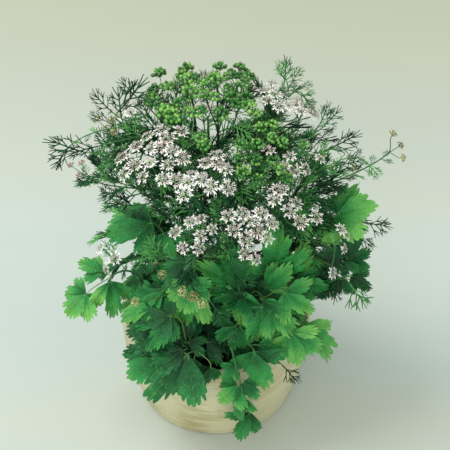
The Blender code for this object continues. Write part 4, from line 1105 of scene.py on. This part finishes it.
flowerHeads = {
    "flower_head_left": dict(umbels=((163, 134, 24), (155, 172, 20)), shown=(
        (161, 128), (181, 129), (146, 135), (167, 137), (149, 147), (161, 146), (172, 150), (163, 178),
        (149, 161), (141, 176), (177, 179), (183, 157), (168, 163))),
    "flower_head_outer_left": dict(umbels=((130, 158, 20),), shown=(
        (120, 156), (135, 144), (134, 164), (122, 173))),
    "flower_head_mid_left": dict(umbels=((188, 182, 19), (214, 173, 16)), shown=(
        (186, 181), (202, 178), (210, 186), (219, 163), (217, 153), (206, 161), (227, 167), (229, 187))),
    "flower_head_bud_left": dict(umbels=((75, 167, 14),), kind="bud", shown=(
        (69, 164), (80, 161), (76, 175))),
    "flower_head_far_left": dict(umbels=((104, 123, 14),), kind="faded", shown=(
        (96, 118), (111, 119), (113, 130))),
    "flower_head_top_right": dict(umbels=((278, 93, 25), (302, 104, 13)), size=0.88, shown=(
        (272, 81), (275, 92), (287, 93), (280, 104), (268, 98), (298, 97), (301, 109))),
    "flower_head_right": dict(umbels=((320, 159, 14), (297, 160, 13), (271, 151, 8)), shown=(
        (322, 157), (290, 154), (284, 165), (296, 170), (308, 168), (269, 148))),
    "flower_head_outer_right": dict(umbels=((354, 161, 12),), kind="faded", shown=(
        (352, 157), (356, 165))),
    "flower_head_far_right": dict(umbels=((397, 146, 13),), kind="faded", shown=(
        (394, 132), (402, 144), (405, 157))),
    "flower_head_front": dict(umbels=((238, 226, 22), (261, 226, 22)), shown=(
        (228, 214), (243, 212), (234, 229), (247, 239), (262, 212), (273, 222), (258, 230), (268, 238))),
    "flower_head_front_right": dict(umbels=((289, 206, 19), (315, 217, 16)), shown=(
        (275, 198), (290, 210), (301, 221), (318, 216), (280, 188))),
    "flower_head_low_right": dict(umbels=((345, 238, 15), (335, 271, 9)), size=0.88, shown=(
        (343, 228), (347, 249), (335, 273))),
    "flower_head_front_left": dict(umbels=((186, 240, 20), (204, 223, 13)), size=0.85, shown=(
        (174, 231), (182, 248), (199, 248), (190, 220), (213, 229), (201, 235))),
    "flower_head_low_left": dict(umbels=((110, 258, 12),), shown=(
        (98, 247), (113, 258), (104, 269))),
    "flower_head_faded": dict(umbels=((190, 297, 16), (162, 276, 12)), kind="faded", shown=(
        (181, 291), (193, 297), (203, 304), (161, 274))),
    "flower_head_brown": dict(umbels=((133, 303, 9),), kind="faded", shown=(
        (133, 302),)),
    "flower_head_centre": dict(umbels=((251, 257, 12),), shown=(
        (245, 253), (257, 259))),
}
# Heads on the back of the dome: azimuth and height angle in degrees, and radius in mm
backHeads = {
    "fruit_head_back": ((80, 50, 19),),
    "flower_head_back_right": ((48, 32, 21),),
    "flower_head_back": ((98, 22, 22),),
    "flower_head_back_left": ((140, 36, 20),),
}


def headPlaces():   # each head's umbels as (place, radius), and the places of the umbellets that show
    places = {}
    for group in (fruitHeads, flowerHeads):
        for name, facts in group.items():
            umbels = [(onCrown(x, y), radius * mm) for x, y, radius in facts["umbels"]]
            places[name] = {"umbels": umbels, "shown": [onCrown(x, y) for x, y in facts["shown"]],
                            "size": facts.get("size", 1.0)}
    for name, umbels in backHeads.items():
        umbels = [(onCrownBack(azimuth, height), radius * mm) for azimuth, height, radius in umbels]
        places[name] = {"umbels": umbels, "shown": [], "size": 1.0}
    return places


def umbelFoot(place, radius):   # the hub lies below the spread of the rays
    return place - outward(place) * radius * umbelForm["sink"]


def growUmbel(shape, draw, place, radius, shown, kind, scale):
    # Umbellets that the view does not show fill the umbel up, the last one in its middle
    hub = umbelFoot(place, radius)
    facing = outward(place)
    spots = list(shown)
    count = 4 + (radius > umbelForm["middling"] * mm) + 2 * (radius > umbelForm["large"] * mm)
    side = squareTo(facing, Vector((1, 0, 0)))
    start = draw.uniform(0, 6)
    for k in range(count):
        turn = start + 2 * math.pi * k / (count - 1)
        spread = 0.0 if k == count - 1 else umbelForm["spread"]
        spot = place + (Quaternion(facing, turn) @ side) * radius * spread
        spot = spot - facing * radius * umbelForm["sag"] * (spread > 0)
        free = all((spot - other).length > umbelForm["apart"] * mm for other in spots)
        if len(spots) < count and free and not standsBefore(spot):
            spots.append(spot)
    small = 1 if radius > umbelForm["small"] * mm else umbelForm["smallSize"]
    placeShape(shape, discBall, axesUp(facing, 0), hub, umbelForm["hub"] * mm)
    for spot in spots:
        keepClear(spot, umbelForm["clear"])
        way = (facing * 0.7 + (spot - hub).normalized() * 0.7).normalized()
        foot = spot - way * umbelForm["rayStop"] * mm
        path = swing(hub, facing, foot, way, 6, 0.3)
        addTube(shape, path, [umbelForm["ray"] * mm, umbelForm["rayEnd"] * mm], 4)
        size = mm * draw.uniform(0.92, 1.08) * scale * small
        placeShape(shape, draw.choice(umbellets[kind]), axesUp(way, draw.uniform(0, 6)), foot, size,
                   draw.uniform(-0.2, 0.2))


def growHead(name, facts, kind, materials):
    draw = random.Random(name)
    shape = newShape()
    umbels = facts["umbels"]
    for i, (place, radius) in enumerate(umbels):
        nearest = [spot for spot in facts["shown"]
                   if min(range(len(umbels)), key=lambda k: (umbels[k][0] - spot).length / umbels[k][1]) == i]
        if i:   # a second umbel stands on a twig from the first one's hub
            start = umbelFoot(*umbels[0])
            end = umbelFoot(place, radius)
            low = -up * umbelForm["twinDrop"] * mm
            radii = [thick * mm for thick in umbelForm["twin"]]
            addTube(shape, bezier(start, start + low, end + low, end, 10), radii, 5)
        growUmbel(shape, draw, place, radius, nearest, kind, facts["size"])
    head = makeObject("umbel_" + name, shape, materials)
    stand(head, name)


heads = headPlaces()
for name, facts in heads.items():
    fruiting = name.startswith("fruit")
    kind = "fruit" if fruiting else flowerHeads.get(name, {}).get("kind", "open")
    petals = {"fruit": fruitSkin, "bud": budSkin, "faded": fadedSkin, "open": petalSkin}[kind]
    smallParts = tipSkin if fruiting else antherSkin
    growHead(name, facts, kind, [stalkSkin, petals, smallParts])
print("heads made")


# Flowering stems with their branches and feathery leaves

stems = {   # where each enters the soil, x and y in mm, and the head that ends it
    "flowering_stem_1": dict(root=(-34, 4), head="fruit_head_far_left"),
    "flowering_stem_2": dict(root=(-14, 16), head="fruit_head_left"),
    "flowering_stem_3": dict(root=(2, 36), head="fruit_head_top"),
    "flowering_stem_4": dict(root=(-24, -14), head="fruit_head_mid_left"),
    "flowering_stem_5": dict(root=(2, -6), head="fruit_head_middle"),
    "flowering_stem_6": dict(root=(22, 20), head="flower_head_top_right"),
    "flowering_stem_7": dict(root=(28, 2), head="fruit_head_right"),
    "flowering_stem_8": dict(root=(46, 8), head="flower_head_right"),
    "flowering_stem_9": dict(root=(0, -46), head="flower_head_front"),
}
# Feathery leaves that stand out of the crown: place of the root, place of the tip, depth in mm. The first set
# is painted darker as shaded threads (painted shade), the second paler as lit ones (painted light)
shadedFeathers = (
    (84, 152, 44, 141, -4), (98, 146, 64, 154, -12), (112, 112, 90, 92, 18), (138, 98, 118, 80, 28),
    (70, 146, 48, 168, -6), (118, 112, 147, 82, 24), (108, 122, 88, 114, 14), (122, 120, 116, 88, 30),
    (100, 176, 72, 184, -14), (122, 188, 96, 202, -20), (130, 196, 116, 212, -24), (112, 150, 94, 128, 6),
    (330, 148, 362, 136, 6), (336, 166, 366, 160, -4), (364, 222, 393, 230, -16), (338, 280, 334, 304, -52),
    (114, 200, 100, 184, -10), (146, 104, 151, 88, 30), (356, 236, 376, 250, -30), (282, 365, 303, 385, -100),
)
# threads painted paler as if lit: painted light
litFeathers = (
    (284, 86, 288, 57, 40), (287, 82, 280, 61, 38), (291, 84, 301, 66, 34), (298, 90, 313, 82, 30),
    (296, 92, 318, 104, 30), (304, 96, 314, 114, 26), (322, 128, 342, 108, 18), (320, 124, 331, 104, 20),
    (366, 162, 382, 178, -10), (350, 284, 366, 312, -44), (226, 214, 214, 196, -66),
    (262, 196, 250, 176, -60), (212, 304, 228, 327, -104),
)
stemForm = {
    "thick": 2.0, "thin": 0.95, "twig": 0.95, "twigEnd": 0.65, "hubGap": 0.6,   # mm, radii, and gap to a hub
    "leafEvery": 9, "leafFrom": 160,   # mm along a stem, and the height that leaves start from
    "leafLength": (22, 38), "leafLeast": 14, "leafTrim": 3,   # mm, trimmed in steps where the dome is near
    "leafTurn": 2.4, "leafOut": 4,   # radians from leaf to leaf, and their lean out of the crown per metre
    "darkTones": (-0.5, -0.2), "paleTones": (0.0, 0.35),   # painted shade and painted light of the leaves that stand out of the crown
    "branchDrop": 30,   # mm, a branch leaves its stem at least this far below its goal
    "twigs": 44, "seed": 5, "twigShares": (0.62, 0.93),   # how near the dome they end
    "twigLow": 6, "twigTop": 0.97,   # the lowest one's height in degrees, and the sine of the highest
    "goldenTurn": 137.5, "stray": 12,   # degrees from one azimuth to the next
    "spray": (-0.5, 0, 0.5),   # leaves spread at a twig's end
}


def hubJoint(head):   # where a stalk meets a head's hub, and the way it arrives
    place, radius = heads[head]["umbels"][0]
    arrival = outward(place)
    return umbelFoot(place, radius) - arrival * stemForm["hubGap"] * mm, arrival


def stemPlan():   # the path of each stem, and which heads and outer leaves spring from it
    plan = {}
    for name, facts in stems.items():
        goal, arrival = hubJoint(facts["head"])
        plan[name] = {"coarse": risingPath(facts["root"], goal, arrival, 7),
                      "fine": risingPath(facts["root"], goal, arrival, 28),
                      "heads": [], "feathers": [], "twigs": []}
    ends = {facts["head"] for facts in stems.values()}
    for head, facts in heads.items():
        if head not in ends:
            plan[nearestStem(plan, facts["umbels"][0][0])]["heads"].append(head)
    for leaf in shadedFeathers + litFeathers:
        root = seen(leaf[0], leaf[1], leaf[4])
        plan[nearestStem(plan, root)]["feathers"].append(leaf)
    for goal in twigGoals(random.Random(stemForm["seed"])):
        plan[nearestStem(plan, goal)]["twigs"].append(goal)
    return plan


def twigGoals(draw):   # places spread evenly over the dome, some way inside it
    goals = []
    low = math.sin(math.radians(stemForm["twigLow"]))
    stray = stemForm["stray"]
    for k in range(stemForm["twigs"]):
        rise = low + (stemForm["twigTop"] - low) * (k + 0.5) / stemForm["twigs"]
        rise = math.degrees(math.asin(rise))
        place = onCrownBack(stemForm["goldenTurn"] * k + draw.uniform(-stray, stray), rise)
        goal = crownCentre + (place - crownCentre) * draw.uniform(*stemForm["twigShares"])
        if not standsBefore(goal):
            goals.append(goal)
    return goals


def nearestStem(plan, point):   # by the upper part of each
    def distance(name):
        return min((plan[name]["coarse"][k] - point).length for k in (4, 5, 6))
    return min(plan, key=distance)


def branchPath(path, goal, arrival, steps):   # a branch leaves the stem well below its goal
    share = 2
    for k in (3, 4, 5, 6):
        if path[k].z < goal.z - stemForm["branchDrop"] * mm:
            share = k
    start = (path[share] + path[share + 1]) / 2
    way = (path[share + 1] - path[share]).normalized()
    return swing(start, way, goal, arrival, steps)


def featherAlong(shape, draw, path):   # feathery leaves at even steps along a path, in turn round it
    every = stemForm["leafEvery"] * mm
    travelled = every * draw.uniform(0.3, 1)
    turn = draw.uniform(0, 6)
    for a, b in zip(path, path[1:]):
        travelled += (b - a).length
        while travelled > every:
            travelled -= every
            root = a + (b - a) * draw.random()
            turn += stemForm["leafTurn"]
            if root.z < stemForm["leafFrom"] * mm:
                continue
            way = (b - a).normalized()
            side = Quaternion(way, turn) @ squareTo(way, Vector((1, 0.2, 0.1)))
            out = Vector((root.x - crownCentre.x, root.y - crownCentre.y, 0)) * stemForm["leafOut"]
            along = (side + way * 0.5 + out + up * 0.15).normalized()
            addFeather(shape, draw, root, along, draw.uniform(*stemForm["leafLength"]) * mm)


def growStem(name, facts):
    draw = random.Random(name)
    shape = newShape()
    addTube(shape, facts["fine"], [stemForm["thick"] * mm, stemForm["thin"] * mm], 12, 1, 0.15, 0.07)
    featherAlong(shape, draw, facts["fine"])
    for head in facts["heads"]:
        goal, arrival = hubJoint(head)
        path = branchPath(facts["coarse"], goal, arrival, 16)
        addTube(shape, path, [stemForm["twig"] * mm * 1.2, stemForm["twigEnd"] * mm], 8, 1, 0.5, 0.06)
        featherAlong(shape, draw, path)
    for goal in facts["twigs"]:
        away = outward(goal)
        path = branchPath(facts["coarse"], goal, away, 12)
        addTube(shape, path, [stemForm["twig"] * mm, stemForm["twigEnd"] * 0.7 * mm], 6, 1, 0.15, 0.06)
        featherAlong(shape, draw, path)
        for side in stemForm["spray"]:
            along = away + Quaternion(away, side * 4) @ squareTo(away, up) * side
            addFeather(shape, draw, goal, along.normalized(), draw.uniform(*stemForm["leafLength"]) * mm)
    for feather in facts["feathers"]:
        rootX, rootY, tipX, tipY, depth = feather
        root = seen(rootX, rootY, depth)
        tip = seen(tipX, tipY, depth)
        along = (tip - root).normalized()
        path = branchPath(facts["coarse"], root, along, 12)
        addTube(shape, path, [stemForm["twig"] * mm, stemForm["twigEnd"] * 0.8 * mm], 6, 1, 0.5, 0.06)
        # shaded threads take painted shade, lit threads painted light
        tones = stemForm["paleTones" if feather in litFeathers else "darkTones"]
        length = (tip - root).length / featherForm["whole"]
        placeShape(shape, draw.choice(featherPatterns), axesOf(along, towardView), root, length,
                   draw.uniform(*tones))
        featherAlong(shape, draw, path)
    stem = makeObject("feathery_" + name, shape, [featherSkin, stalkSkin])
    stand(stem, name)


for name, facts in stemPlan().items():
    growStem(name, facts)
print("stems made")


# Stage, light and camera

stageForm = {   # places and sizes in metres, power in watts
    "floor": "#b4bfbd", "band": "#bec3b9", "far": "#abaa93",   # pale grey-green paper, in bands, warmer far off and darker there: painted shade
    "side": 14.0, "warmFrom": 0.25, "warmTo": 0.95,   # the paper's width, and where it turns warmer and darker
    "world": "#e6ede4", "worldStrength": 0.96,
    "key": 116, "keySize": 2.6, "keyPlace": (-2.0, 0.3, 4.0),   # from above and left
    "fill": 34, "fillSize": 2.2, "fillPlace": (-0.4, -2.8, 1.7),   # from the front
    "aim": (0, 0, 0.2),   # both lamps face this place
}


def paperMaterial():
    # Background paper, rolled out: matt, in faint level bands, turning warmer and darker at the back, the
    # darkening painted shade
    material, tree, surface = newMaterial("background paper, matt grey-green", 0.9)
    place = addNode(tree, "TexCoord").outputs["Object"]
    level = addNode(tree, "Mapping", {"Scale": (0.5, 3.0, 1.0)}, {"Vector": place})
    # Clouds of 625 mm, drawn out into bands 1250 mm long and 210 mm deep
    cloud = addNode(tree, "TexNoise", {"Scale": perMm(625), "Detail": 3.0}, {"Vector": level})
    spread = addNode(tree, "MapRange", {"From Min": 0.3, "From Max": 0.7}, {"Value": cloud})
    colours = {"Color1": fromHex(stageForm["floor"]), "Color2": fromHex(stageForm["band"])}
    tint = addNode(tree, "MixRGB", colours, {"Fac": spread})
    parts = addNode(tree, "SeparateXYZ", None, {"Vector": place})
    away = addNode(tree, "MapRange", {"From Min": stageForm["warmFrom"], "From Max": stageForm["warmTo"]},
                   {"Value": parts.outputs["Y"]})
    # the far colour dims and warms the paper towards the back: painted shade and a warmer tint
    farDimmed = addNode(tree, "MixRGB", {"Color2": fromHex(stageForm["far"])}, {"Fac": away, "Color1": tint})
    feed(tree, surface, {"Base Color": farDimmed})
    return material


def makeStage():
    half = stageForm["side"] / 2
    mesh = bpy.data.meshes.new("paper_floor")
    corners = [(-half, -half, 0), (half, -half, 0), (half, half, 0), (-half, half, 0)]
    mesh.from_pydata(corners, [], [(0, 1, 2, 3)])
    mesh.materials.append(paperMaterial())
    floor = addThing("paper_floor", mesh)
    world = bpy.data.worlds.new("soft studio")
    bpy.context.scene.world = world
    world.use_nodes = True
    sky = world.node_tree.nodes["Background"]
    sky.inputs["Color"].default_value = fromHex(stageForm["world"])
    sky.inputs["Strength"].default_value = stageForm["worldStrength"]


def makeLamp(name, place, size, power):
    lamp = bpy.data.lights.new(name, "AREA")
    lamp.shape = "DISK"
    lamp.size = size
    lamp.energy = power
    addThing(name, lamp, place, Vector(stageForm["aim"]) - Vector(place))


def makeCamera():
    lens = bpy.data.cameras.new("camera")
    lens.lens = view["lens"]
    lens.sensor_width = view["sensor"]
    lens.clip_start = view["near"]
    bpy.context.scene.camera = addThing("camera", lens, eye, -towardView)
    bpy.context.scene.view_settings.view_transform = "Standard"   # colours as plain as the photograph's


makeStage()
makeLamp("key light", stageForm["keyPlace"], stageForm["keySize"], stageForm["key"])
makeLamp("fill light", stageForm["fillPlace"], stageForm["fillSize"], stageForm["fill"])
makeCamera()
print("stage, lights and camera made")
